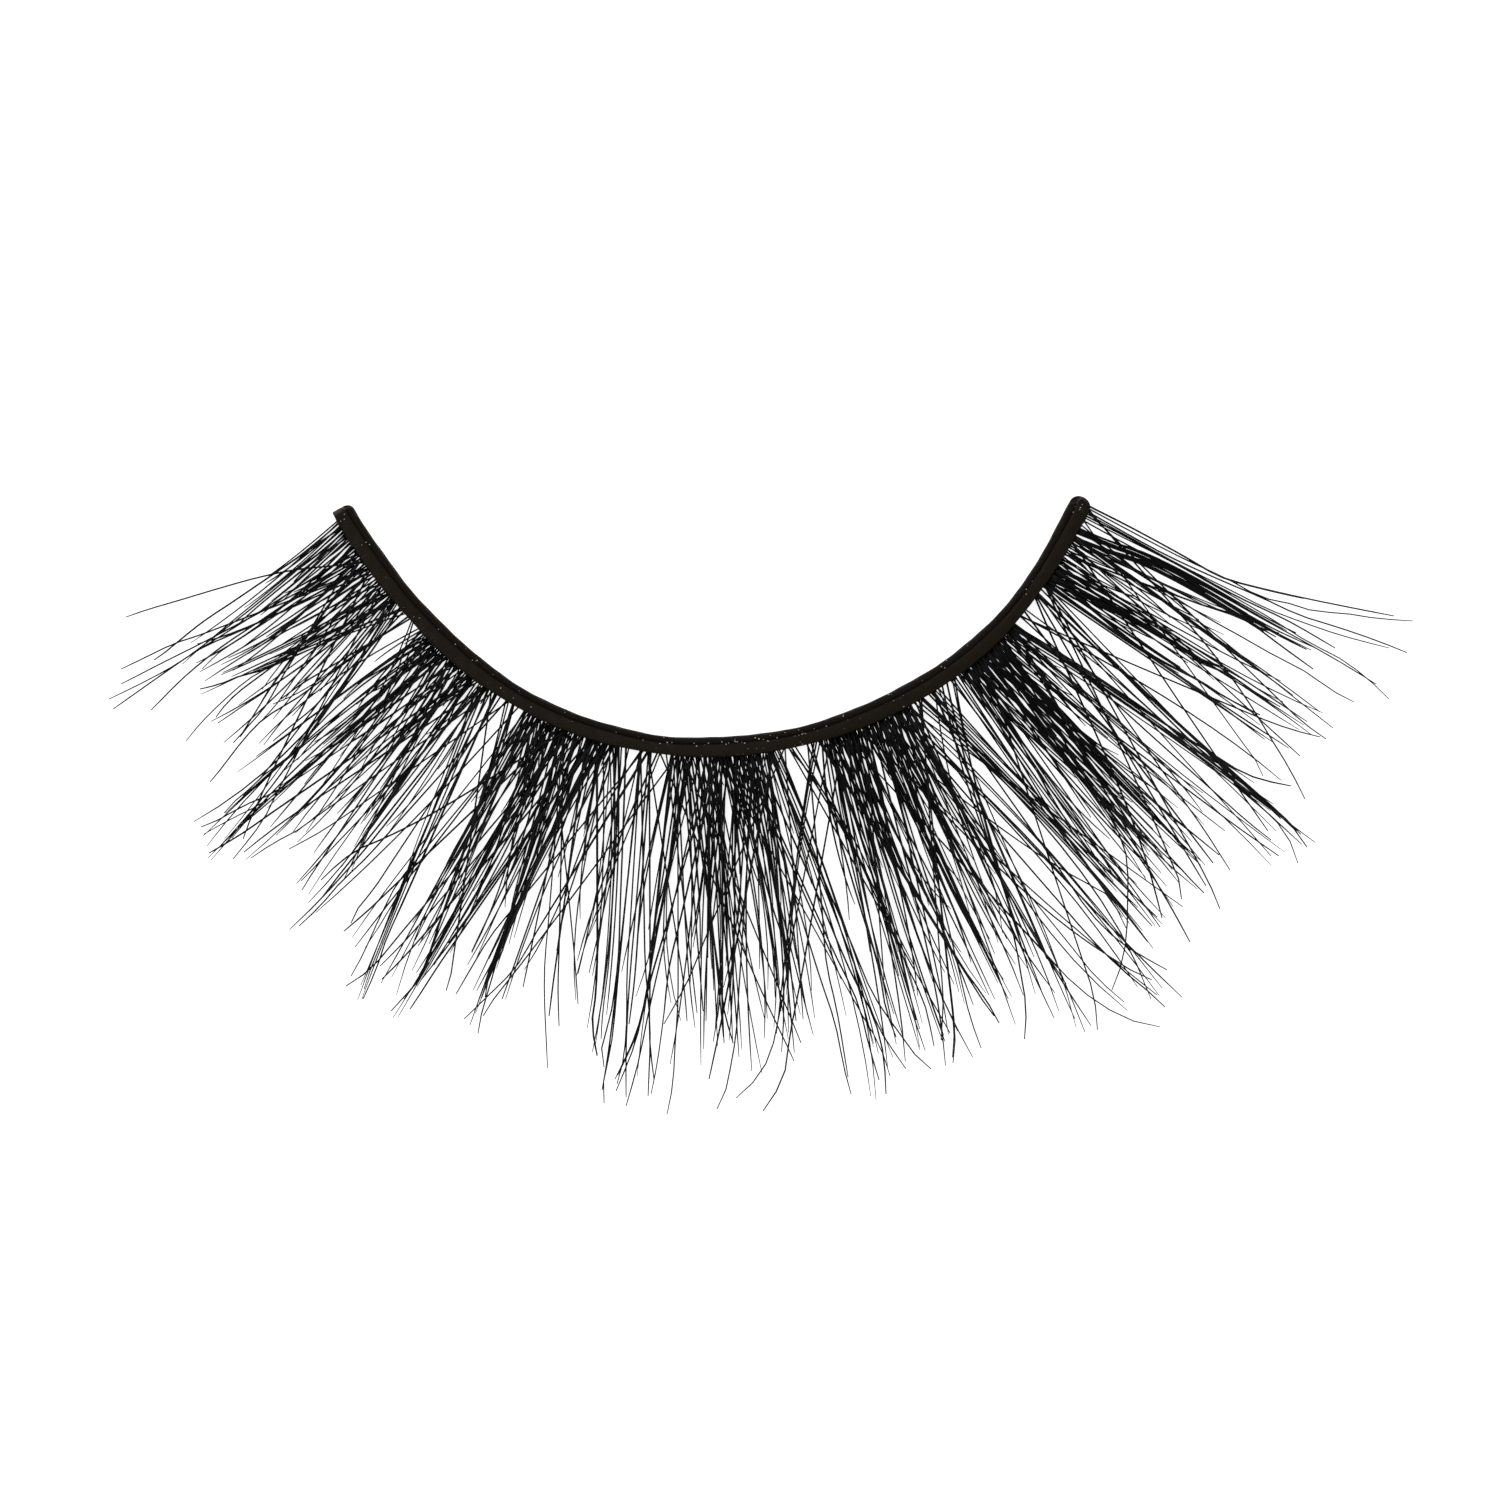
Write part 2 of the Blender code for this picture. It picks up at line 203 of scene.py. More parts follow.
def buildFibreGrain():
    # Streaks are a fine noise and blotches a coarse one, both over the place that the material hands in.
    group = bpy.data.node_groups.new("fibreGrain", "ShaderNodeTree")
    group.interface.new_socket("Place", in_out="INPUT", socket_type="NodeSocketVector")
    group.interface.new_socket("Streak Scale", in_out="INPUT", socket_type="NodeSocketFloat")
    group.interface.new_socket("Blotch Scale", in_out="INPUT", socket_type="NodeSocketFloat")
    group.interface.new_socket("Streaks", in_out="OUTPUT", socket_type="NodeSocketFloat")
    group.interface.new_socket("Blotches", in_out="OUTPUT", socket_type="NodeSocketFloat")
    given = addNode(group, "NodeGroupInput", (-600, 0))
    streaks = addNode(group, "ShaderNodeTexNoise", (-300, 150))
    streaks.inputs["Detail"].default_value = 3.0
    blotches = addNode(group, "ShaderNodeTexNoise", (-300, -150))
    blotches.inputs["Detail"].default_value = 2.0
    result = addNode(group, "NodeGroupOutput", (0, 0))
    joinUp(
        group,
        (given.outputs["Place"], streaks.inputs["Vector"]),
        (given.outputs["Place"], blotches.inputs["Vector"]),
        (given.outputs["Streak Scale"], streaks.inputs["Scale"]),
        (given.outputs["Blotch Scale"], blotches.inputs["Scale"]),
        (streaks.outputs["Fac"], result.inputs["Streaks"]),
        (blotches.outputs["Fac"], result.inputs["Blotches"]),
    )
    return group


fibreGrain = buildFibreGrain()


def startMaterial(name, finish):
    # A Principled surface whose even values come straight from the finish dictionary.
    material = bpy.data.materials.new(name)
    material.use_nodes = True
    tree = material.node_tree
    shader = tree.nodes["Principled BSDF"]
    for socket, value in finish.items():
        shader.inputs[socket].default_value = value
    return material, tree, shader


def placeGrain(tree, source, scale, streakScale, blotchScale):
    # The grain group over a stretched copy of the piece's own coordinates.
    stretch = addNode(tree, "ShaderNodeMapping", (-900, 0))
    stretch.inputs["Scale"].default_value = scale
    grain = addNode(tree, "ShaderNodeGroup", (-700, 0), node_tree=fibreGrain)
    grain.inputs["Streak Scale"].default_value = streakScale
    grain.inputs["Blotch Scale"].default_value = blotchScale
    joinUp(tree, (source, stretch.inputs["Vector"]), (stretch.outputs["Vector"], grain.inputs["Place"]))
    return grain


def mixColours(tree, place, share, first, second):
    # first where share is 0 and second where it is 1; either may be a colour or another node's socket.
    mix = addNode(tree, "ShaderNodeMix", place, data_type="RGBA")
    joinUp(tree, (share, mix.inputs["Factor"]))
    for socket, value in ((mix.inputs[6], first), (mix.inputs[7], second)):
        if isinstance(value, tuple):
            socket.default_value = (*value, 1.0)
        else:
            joinUp(tree, (value, socket))
    return mix.outputs[2]


def remap(tree, place, source, low, high, newLow, newHigh):
    # Carries the range low to high over to newLow to newHigh, clamped.
    node = addNode(tree, "ShaderNodeMapRange", place)
    for socket, value in zip(("From Min", "From Max", "To Min", "To Max"), (low, high, newLow, newHigh)):
        node.inputs[socket].default_value = value
    joinUp(tree, (source, node.inputs["Value"]))
    return node.outputs["Result"]


def raiseBump(tree, shader, height, strength, distance):
    bump = addNode(tree, "ShaderNodeBump", (-200, -300))
    bump.inputs["Strength"].default_value = strength
    bump.inputs["Distance"].default_value = distance * mm
    joinUp(tree, (height, bump.inputs["Height"]), (bump.outputs["Normal"], shader.inputs["Normal"]))


def readMark(tree, place, label):
    return addNode(tree, "ShaderNodeAttribute", place, attribute_name=label).outputs["Fac"]


def hairMaterial(name, deep, warm, tipTone):
    # Near black, a little warmer on some hairs than on others, paler at the tips, with fine streaks along the hair.
    material, tree, shader = startMaterial(name, {"IOR": 1.5, "Specular IOR Level": 0.22})
    coordinates = addNode(tree, "ShaderNodeTexCoord", (-1100, 0))
    grain = placeGrain(tree, coordinates.outputs["UV"], (6.0, 40.0, 1.0), 3.0, 0.6)
    strand = readMark(tree, (-700, 300), "strand")
    along = readMark(tree, (-700, 500), "along")
    hairTone = remap(tree, (-500, 300), strand, 0.55, 1.0, 0.0, 1.0)
    body = mixColours(tree, (-300, 300), hairTone, deep, warm)
    paling = remap(tree, (-500, 500), along, 0.75, 1.0, 0.0, 0.6)
    colour = mixColours(tree, (-100, 400), paling, body, tipTone)
    gloss = remap(tree, (-300, 0), grain.outputs["Streaks"], 0.3, 0.7, 0.38, 0.55)
    joinUp(tree, (colour, shader.inputs["Base Color"]), (gloss, shader.inputs["Roughness"]))
    raiseBump(tree, shader, grain.outputs["Streaks"], 0.25, 0.004)
    return material


def glueMaterial():
    # Dried black glue over fibre: warm black with blotches, streaks along the band, and a pale patch at the cut end
    # that is partly glue film and partly a painted highlight.
    # It is duller towards the outer end.
    material, tree, shader = startMaterial("driedGlueBand", {"IOR": 1.47})
    coordinates = addNode(tree, "ShaderNodeTexCoord", (-1100, 0))
    grain = placeGrain(tree, coordinates.outputs["UV"], (30.0, 160.0, 1.0), 2.0, 0.5)
    filmAndHighlight = readMark(tree, (-700, 400), "filmAndHighlight")
    body = mixColours(tree, (-400, 300), grain.outputs["Blotches"],
                      (0.0098, 0.0064, 0.0036), (0.0220, 0.0152, 0.0092))
    streaking = remap(tree, (-450, 100), grain.outputs["Streaks"], 0.5, 0.8, 0.0, 0.7)
    streaked = mixColours(tree, (-250, 200), streaking, body, (0.040, 0.032, 0.022))
    # Paler at the cut end: partly glue film, partly a painted highlight.
    colour = mixColours(tree, (-100, 300), filmAndHighlight, streaked, (0.20, 0.19, 0.18))
    gloss = remap(tree, (-300, 0), grain.outputs["Blotches"], 0.3, 0.7, 0.34, 0.56)
    shine = remap(tree, (-300, -600), readMark(tree, (-700, -600), "outward"), 0.40, 0.65, 0.17, 0.10)
    joinUp(tree, (colour, shader.inputs["Base Color"]), (gloss, shader.inputs["Roughness"]),
           (shine, shader.inputs["Specular IOR Level"]))
    raiseBump(tree, shader, grain.outputs["Streaks"], 0.35, 0.010)
    return material


def threadMaterial():
    # Matt black cotton soaked with glue: fine fibres along each ply, and slightly glossy where the glue is thick.
    material, tree, shader = startMaterial("soakedCotton", {"IOR": 1.45, "Specular IOR Level": 0.09})
    coordinates = addNode(tree, "ShaderNodeTexCoord", (-1100, 0))
    grain = placeGrain(tree, coordinates.outputs["UV"], (120.0, 12.0, 1.0), 2.0, 0.4)
    colour = mixColours(tree, (-300, 200), grain.outputs["Streaks"],
                        (0.0060, 0.0040, 0.0026), (0.0240, 0.0180, 0.0130))
    gloss = remap(tree, (-300, 0), grain.outputs["Blotches"], 0.35, 0.65, 0.42, 0.72)
    joinUp(tree, (colour, shader.inputs["Base Color"]), (gloss, shader.inputs["Roughness"]))
    raiseBump(tree, shader, grain.outputs["Streaks"], 0.5, 0.012)
    return material


def crumbAndGlintMaterial():
    # Pale, waxy crumbs of dried glue, some greyer than others. Their near-white is partly a painted glint of the
    # band's glue.
    material, tree, shader = startMaterial("paleGlueCrumbAndPaintedGlint", {"IOR": 1.47, "Roughness": 0.35})
    coordinates = addNode(tree, "ShaderNodeTexCoord", (-1100, 0))
    grain = placeGrain(tree, coordinates.outputs["Object"], (1.0, 1.0, 1.0), 9000.0, 1500.0)
    tone = readMark(tree, (-700, 300), "strand")
    # Near-white, partly a painted glint; the greyer crumbs by their tone.
    body = mixColours(tree, (-400, 300), tone, (0.80, 0.79, 0.77), (0.22, 0.21, 0.20))
    speckling = remap(tree, (-400, 0), grain.outputs["Streaks"], 0.4, 0.7, 0.0, 0.3)
    colour = mixColours(tree, (-200, 300), speckling, body, (0.45, 0.42, 0.38))
    joinUp(tree, (colour, shader.inputs["Base Color"]))
    raiseBump(tree, shader, grain.outputs["Blotches"], 0.3, 0.006)
    return material


materials = {
    "band": glueMaterial(),
    "thread": threadMaterial(),
    "short": hairMaterial("shortHair", (0.0022, 0.0024, 0.0034), (0.0056, 0.0048, 0.0044), (0.011, 0.010, 0.010)),
    "long": hairMaterial("longHair", (0.0020, 0.0020, 0.0028), (0.0050, 0.0042, 0.0036), (0.012, 0.010, 0.009)),
    "grain": crumbAndGlintMaterial(),
}
print("materials:", ", ".join(material.name for material in materials.values()))


def seat(piece, material, slot, *replaced):
    # Every piece rides on the strip's one body and takes the finish that it is given; the slot is not used.
    piece.data.materials.append(material)
    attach(piece, "root")
    if replaced:
        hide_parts(*replaced)
    return piece


band = {
    "width": 0.70,
    "height": 0.42,
    "ledgeWidth": 0.28,        # the lower inner part that carries the thread
    "ledgeHeight": 0.16,
    "filletWidth": 0.12,       # glue that fills the corner behind the thread
    "roundness": 0.045,        # of the section's corners
    "crown": 0.018,            # how far the top's middle stands above its edges
    "sectionPoints": 44,
    "step": 0.028,
    "leftRounding": 0.05,      # the cut end
    "innerCorner": 0.28,       # radius of its inner corner
    "rightRounding": 0.34,     # the dipped end
    "scallop": 0.055,          # glue pulled out between the roots of a tuft
    "ridgePitch": 0.085,       # hair roots under the glue
    "ridgeLean": 0.35,
    "ridgeHeight": 0.016,
    "ridgeStart": 0.40,
    "ripple": (0.010, 0.006, 0.004),
    "ripplePitch": (1.9, 0.63, 0.21),
    "rippleLean": (0.4, -0.7, 1.3),
    "filmAndHighlightLength": 0.16,        # pale patch at the cut end: partly glue film, partly a painted highlight
    "filmAndHighlightStart": 0.26,
    "filmAndHighlightFade": 0.15,
    "topStart": 0.05,          # above the ledge, where a point starts to belong to the top, and over what height
    "topFade": 0.15,
    "topInset": 0.02,          # the same across
    "topInsetFade": 0.06,
    "ridgeWander": 1.7,        # radians a millimetre by which the ridges' slant changes
    "ridgeFade": 0.2,
    "scallopStart": 0.5,
    "scallopFade": 0.2,
    "innerFade": 0.2,
    "sharpAngle": 70.0,
    "dipNarrow": 0.995,        # how much of the rounding is used at the right end, across and in height
    "dipLow": 0.93,
    "cutNarrow": 0.10,         # by what share the cut end narrows and sinks
    "cutLow": 0.06,
    "cornerEnd": 0.98,
    "outsideFall": (1.4, 0.3),  # the scallops fade with height from the first share, down to the second
    "scallopParts": (0.15, 0.55, 0.45),  # share of them everywhere, in tufts, and in tufts with the waves
}
# Further waves: pitches, leans and heights.
bandWaves = {
    "wobble": ((1.3, 0.47), (0.0, 0.3), (0.30, 0.22)),
    "scallop": ((0.83, 0.31, 0.12), (0, 0, 0), (0.35, 0.3, 0.25)),
    "inner": ((2.7, 0.9), (0.2, 0.5), (0.008, 0.004)),
    "filmAndHighlight": ((0.11, 0.07), (0.7, -0.4), (0.25, 0.2)),
}


# The inner side stands a little nearer to the lid than the arcs in places, and further off in others.
innerSwell = {
    "columns": ("station", "inward"),
    "rows": (
        (0.0, 0.05), (2.0, 0.07), (4.3, 0.04), (6.5, 0.09), (9.5, 0.00), (13.0, 0.00), (15.0, -0.05), (17.0, 0.03),
        (19.5, -0.02), (23.0, 0.06), (26.5, 0.03), (29.5, -0.03), (32.7, 0.08),
    ),
    "blend": (-0.5, 0.0, 0.5),
}


def moveInner(stations, r):
    # Moves the inner side by the swell, and out at the cut end by a quarter circle. The outer side stays.
    station, inward = np.transpose(innerSwell["rows"])
    blend = innerSwell["blend"]
    swell = sum(np.interp(stations + shift, station, inward) for shift in blend) / len(blend)
    cornerTurn = np.clip(1 - stations / band["innerCorner"], 0, band["cornerEnd"])
    corner = band["innerCorner"] * (1 - np.sqrt(1 - cornerTurn ** 2))
    return r + (corner - swell) * (1 - r / band["width"])


def bandSection(shape):
    # The closed section in (r, z): straight runs between its corners, sampled evenly and softened by a moving mean.
    width, height, ledge = shape["width"], shape["height"], shape["ledgeWidth"]
    corners = np.array([
        (0.0, 0.0), (0.0, shape["ledgeHeight"]), (ledge - shape["filletWidth"], shape["ledgeHeight"]),
        (ledge, height), (width, height), (width, 0.0), (0.0, 0.0),
    ])
    lengths = np.concatenate([[0.0], np.cumsum(np.hypot(*np.diff(corners, axis=0).T))])
    fine = 12
    walk = np.linspace(0.0, lengths[-1], shape["sectionPoints"] * fine, endpoint=False)
    outline = np.stack([np.interp(walk, lengths, corners[:, axis]) for axis in (0, 1)], axis=1)
    reach = int(round(shape["roundness"] / (walk[1] - walk[0])))
    soft = sum(np.roll(outline, shift, axis=0) for shift in range(-reach, reach + 1)) / (2 * reach + 1)
    return soft[::fine]


def makeBand(shape):
    # The section is carried along the inner edge. Its top is crowned and rippled, and hair roots stand up as slanting
    # ridges near the outer side, which bulges out in soft scallops. Quarter circles narrow it at the ends.
    section = bandSection(shape)
    stations = np.arange(0.0, bandLength + shape["step"] / 2, shape["step"])
    stations = np.linspace(0.0, bandLength, len(stations))[:, None]
    r = section[None, :, 0] + 0 * stations
    z = section[None, :, 1] + 0 * stations
    onTop = rampUp(z - shape["ledgeHeight"] - shape["topStart"], shape["topFade"])
    onTop = onTop * rampUp(r - shape["ledgeWidth"] + shape["topInset"], shape["topInsetFade"])
    acrossTop = np.clip((r - shape["ledgeWidth"]) / (shape["width"] - shape["ledgeWidth"]), 0, 1)
    tuft = tuftShare(stations[:, 0])[:, None]
    ripple = waves(stations, r, shape["ripplePitch"], shape["rippleLean"], shape["ripple"], seeds["ripple"])
    wobble = waves(stations, r, *bandWaves["wobble"], seeds["wobble"])
    slant = shape["ridgeLean"] * r * np.sin(stations * shape["ridgeWander"])
    phase = (stations + slant) / shape["ridgePitch"] + wobble
    ridge = (0.5 + 0.5 * np.sin(2 * np.pi * phase)) ** 2
    ridge = ridge * rampUp(r - shape["ridgeStart"], shape["ridgeFade"]) * tuft
    crown = shape["crown"] * (1 - (2 * acrossTop - 1) ** 2)
    z = z + onTop * (crown + ripple + shape["ridgeHeight"] * ridge - shape["crown"])
    fallFrom, fallTo = shape["outsideFall"]
    outside = rampUp(r - shape["scallopStart"], shape["scallopFade"])
    outside = outside * np.clip(fallFrom - z / shape["height"], fallTo, 1)
    bulge = waves(stations, 0 * r, *bandWaves["scallop"], seeds["scallop"])
    everywhere, inTufts, withWaves = shape["scallopParts"]
    r = r + outside * shape["scallop"] * (everywhere + tuft * (inTufts + withWaves * bulge))
    inside = rampUp(shape["innerFade"] - r, shape["innerFade"])
    r = r + inside * waves(stations, z, *bandWaves["inner"], seeds["inner"])
    fromLeft = np.clip(1 - stations / shape["leftRounding"], 0, 1)
    fromRight = np.clip(1 - (bandLength - stations) / shape["rightRounding"], 0, 1)
    dipped, cut = fromRight > 0, fromLeft ** 2
    narrow = np.where(dipped, np.sqrt(1 - (shape["dipNarrow"] * fromRight) ** 2), 1 - shape["cutNarrow"] * cut)
    lower = np.where(dipped, np.sqrt(1 - (shape["dipLow"] * fromRight) ** 2), 1 - shape["cutLow"] * cut)
    middle = shape["width"] / 2
    r = middle + (r - middle) * narrow
    z = z * lower
    place = outFromEdge(stations + 0 * r, moveInner(stations, r))
    points = np.concatenate([place, z[..., None]], axis=-1)
    rings, sides = r.shape
    # The mark for the pale cut end, which is partly glue film and partly a painted highlight.
    filmAndHighlight = np.clip(1 - stations / shape["filmAndHighlightLength"], 0, 1) ** 0.5
    filmAndHighlight = filmAndHighlight * rampUp(r - shape["filmAndHighlightStart"], shape["filmAndHighlightFade"])
    filmAndHighlight = filmAndHighlight * (0.55 + waves(stations, r, *bandWaves["filmAndHighlight"], seeds["filmAndHighlight"]))
    uv = np.stack([stations / mapSpan + 0 * r, np.linspace(0, 1, sides)[None, :] + 0 * r], axis=-1)
    index = np.arange(rings * sides).reshape(1, rings, sides)
    marks = {"filmAndHighlight": np.clip(filmAndHighlight, 0, 1), "outward": stations / bandLength + 0 * r}
    piece = fillMesh("lashBand", points.reshape(-1, 3), tubeFaces(index), marks, uv.reshape(-1, 2))
    piece.data.set_sharp_from_angle(angle=np.radians(shape["sharpAngle"]))
    return seat(piece, materials["band"], "band", "band")


makeBand(band)
print("band: glued strip with root ridges, scallops and its cut end")

thread = {
    "centreR": 0.14,
    "centreZ": 0.30,
    "radius": 0.12,
    "sides": 20,
    "step": 0.03,
    "inset": 0.10,
    "rightGap": 0.24,          # and this much more at the right end
    "twistPitch": 0.62,
    "twistDepth": 0.10,
    "unevenness": (0.006, 0.004),
    "unevenPitch": (1.7, 0.45),
}


def makeThread(shape):
    # Two plies turn round each other: the radius dips at the angles where they meet, and the dips go round once a
    # pitch.
    start = shape["inset"]
    end = bandLength - shape["inset"] - shape["rightGap"]
    stations = np.linspace(start, end, int((end - start) / shape["step"]))[:, None]
    turn = np.linspace(0, 2 * np.pi, shape["sides"], endpoint=False)[None, :]
    groove = np.abs(np.cos(turn - 2 * np.pi * stations / shape["twistPitch"]))
    radius = shape["radius"] * (1 - shape["twistDepth"] * (1 - groove) ** 2)
    radius = radius + waves(stations, turn, shape["unevenPitch"], (0, 0), shape["unevenness"], seeds["thread"])
    toEnd = np.minimum(stations - start, end - stations)
    radius = radius * np.sqrt(np.clip(1 - (1 - np.clip(toEnd / shape["radius"], 0.02, 1)) ** 2, 0, 1))
    r = shape["centreR"] - radius * np.cos(turn)
    z = shape["centreZ"] + radius * np.sin(turn)
    place = outFromEdge(stations + 0 * r, moveInner(stations, r))
    points = np.concatenate([place, z[..., None]], axis=-1)
    rings, sides = r.shape
    uv = np.stack([stations / mapSpan + 0 * r, turn / (2 * np.pi) + 0 * r], axis=-1)
    index = np.arange(rings * sides).reshape(1, rings, sides)
    piece = fillMesh("edgeThread", points.reshape(-1, 3), tubeFaces(index), {}, uv.reshape(-1, 2))
    return seat(piece, materials["thread"], "thread", "edge_thread")


makeThread(thread)
print("thread: two plies along the inner edge")

# Pale specks on the band: dried glue crumbs, and glints painted as pale crumbs.
crumbsAndGlints = {
    "columns": ("from", "to", "rFrom", "rTo", "count", "size"),
    "rows": (
        (0.05, 0.30, 0.35, 0.66, 5, 0.034),
        (2.00, 5.00, 0.40, 0.68, 10, 0.026),
        (14.60, 20.40, 0.10, 0.32, 40, 0.034),
        (15.00, 20.00, 0.45, 0.68, 14, 0.026),
        (5.00, 15.00, 0.05, 0.66, 18, 0.024),
        (20.30, 30.00, 0.05, 0.66, 20, 0.024),
        # At the dipped right end the pale crumbs paint its highlights.
        (32.70, 33.20, 0.20, 0.55, 6, 0.036),
    ),
    "single": (                # pixels of the photo where pale specks stand out: glue crumbs, and glints painted as pale crumbs
        (361, 545), (366, 544), (369, 546), (359, 560), (344, 520), (341, 522), (455, 646), (477, 662),
        (500, 688), (512, 697), (531, 707), (545, 722), (573, 722), (827, 726), (843, 716), (889, 696),
        (905, 706), (946, 668), (1026, 594), (1025, 590),
    ),
    "singleSize": 0.040,
    "sides": 7,
    "rings": 6,
    "sink": 0.35,              # share of a grain that is in the glue
    "sizes": (0.6, 0.9),       # least share of its row's size, and what chance adds
    "stretch": 1.25,
    "flatness": 0.6,
    "rough": 0.18,
    "poleHole": 0.06,          # radians
    "threadMargin": 0.02,
    "topSag": 0.012,
}


def bandTop(r):
    # Height of the band's upper side at r: over the thread it is round, and past the thread it is the flat part.
    over = np.clip(1 - ((r - thread["centreR"]) / thread["radius"]) ** 2, 0, 1)
    onThread = thread["centreZ"] + thread["radius"] * np.sqrt(over)
    return np.where(r < band["ledgeWidth"] - crumbsAndGlints["threadMargin"], onThread, band["height"] - crumbsAndGlints["topSag"])


def makeCrumbsAndGlints(shape):
    # Small uneven balls, each a closed grid of rings and sides, sunk by a third into the glue where they lie. They are
    # pale glue crumbs and painted glints in one.
    random = np.random.default_rng(seeds["crumbsAndGlints"])
    rows = np.array(shape["rows"])
    owner = np.repeat(np.arange(len(rows)), rows[:, 4].astype(int))
    start, end, inner, outer, _, rowSize = rows[owner].T
    count = len(owner)
    share = random.uniform(0, 1, (count, 4))
    station = start + (end - start) * share[:, 0]
    r = inner + (outer - inner) * share[:, 1]
    size = rowSize * (shape["sizes"][0] + shape["sizes"][1] * share[:, 2])
    tone = share[:, 3] ** 2
    singleStation, singleR = nearestEdge(fromPhoto(shape["single"], view["focus"]))
    count = count + len(singleR)
    station = np.concatenate([station, singleStation])
    r = np.concatenate([r, singleR])
    size = np.concatenate([size, np.full(len(singleR), shape["singleSize"])])
    tone = np.concatenate([tone, np.zeros(len(singleR))])
    height = bandTop(r) + size * (0.5 - shape["sink"])
    centre = np.concatenate([outFromEdge(station, moveInner(station, r)), height[:, None]], axis=1)
    polar = np.linspace(shape["poleHole"], np.pi - shape["poleHole"], shape["rings"])[None, :, None]
    turn = np.linspace(0, 2 * np.pi, shape["sides"], endpoint=False)[None, None, :]
    rough = 1 + shape["rough"] * random.uniform(-1, 1, (count, shape["rings"], shape["sides"]))
    x, y, z = np.sin(polar) * np.cos(turn) * shape["stretch"], np.sin(polar) * np.sin(turn), -np.cos(polar)
    ball = np.stack([x + 0 * rough, y + 0 * rough, shape["flatness"] * z + 0 * rough], axis=-1)
    points = centre[:, None, None, :] + ball * (size[:, None, None] * rough / 2)[..., None]
    index = np.arange(points[..., 0].size).reshape(rough.shape)
    tone = np.broadcast_to(tone[:, None, None], rough.shape)
    piece = fillMesh("glueGrains", points.reshape(-1, 3), tubeFaces(index), {"strand": tone})
    return seat(piece, materials["grain"], "band")


makeCrumbsAndGlints(crumbsAndGlints)
print("grains: dried crumbs along the band")

hair = {
    "sections": 12,
    "sides": 5,
    "width": 0.070,
    "widthSpread": 0.008,
    "tipShare": 0.42,          # width left at the very tip
    "taper": 0.22,
    "gather": (1.1, 2.6),      # how early a loose and a stuck hair draw in to their wisp
    "stuck": 0.35,             # share of a wisp's hairs that cling together as one strand
    "stuckSpread": 0.30,       # their share of the wisp's spread
    "leanBow": 0.14,           # a leaning hair bends towards straight out, by this share of its lean
    "bow": (0.14, 0.14),       # spread of the bow from wisp to wisp and from hair to hair
    "stuckBow": 0.02,
    "flick": (0.45, 0.06),     # spread of the sideways turn at the tips, loose and stuck
    "spreadGain": 3.0,         # the tips spread this many times as wide as was read, which looked too narrow
    "jitter": 0.35,            # of a hair's place in its wisp
    "lengthShape": 1.3,
    "fullReach": 12.0,         # reach at which bows and lifts have their full size
    "ownLiftShare": 0.3,       # of the lift, from hair to hair
    "widthLimit": 1.6,         # spreads of the width that a hair may be off by
    "floorGap": 0.012,
    "streakShift": 3.0,        # along the streaks, from hair to hair
}


def combWisps(wisps, shortest, shape, seed):
    # Spreads the wisps over their hairs. Some hairs of a wisp cling together as one dark strand, and the others run
    # loose beside it.
    random = np.random.default_rng(seed)
    hairs = wisps["hairs"]
    owner = np.repeat(np.arange(len(hairs)), hairs)
    number = np.arange(len(owner)) - np.repeat(np.cumsum(hairs) - hairs, hairs)
    count = len(owner)
    within = (number + 0.5) / hairs[owner] - 0.5
    within = within + random.uniform(-shape["jitter"], shape["jitter"], count) / hairs[owner]
    atTip = 0.5 * within + 0.5 * random.uniform(-0.5, 0.5, count)
    stuck = (random.uniform(0, 1, count) < shape["stuck"]) & (hairs[owner] > 2)
    atTip = np.where(stuck, shape["stuckSpread"] * atTip, atTip)
    start, end, tip = (wisps[column][owner] for column in ("from", "to", "tip"))
    root = (start + end) / 2
    length = 1 - (1 - shortest) * random.uniform(0, 1, count) ** shape["lengthShape"]
    length = np.where(number == hairs[owner] // 2, 1.0, length)
    bow = shape["leanBow"] * (tip - root) + random.normal(0, shape["bow"][0], len(hairs))[owner]
    ownBow = np.where(stuck, shape["stuckBow"], shape["bow"][1])
    return {
        "root": root, "rootOffset": (end - start) * within,
        "tip": tip, "tipOffset": wisps["spread"][owner] * atTip,
        "reach": wisps["reach"][owner], "length": length,
        "gather": np.where(stuck, shape["gather"][1], shape["gather"][0]),
        "bow": bow + ownBow * random.normal(0, 1, count),
        "wispLift": random.uniform(-1, 1, len(hairs))[owner],
        **ownDraws(stuck, shape, random),
    }


def ownDraws(stuck, shape, random):
    # What differs from hair to hair, whichever layer it grows in.
    count = len(stuck)
    return {
        "flick": np.where(stuck, shape["flick"][1], shape["flick"][0]) * random.normal(0, 1, count),
        "ownLift": random.uniform(-1, 1, count),
        "strand": random.uniform(0, 1, count),
        "thickness": random.normal(0, 1, count),
        "rootR": random.uniform(0, 1, count),
    }


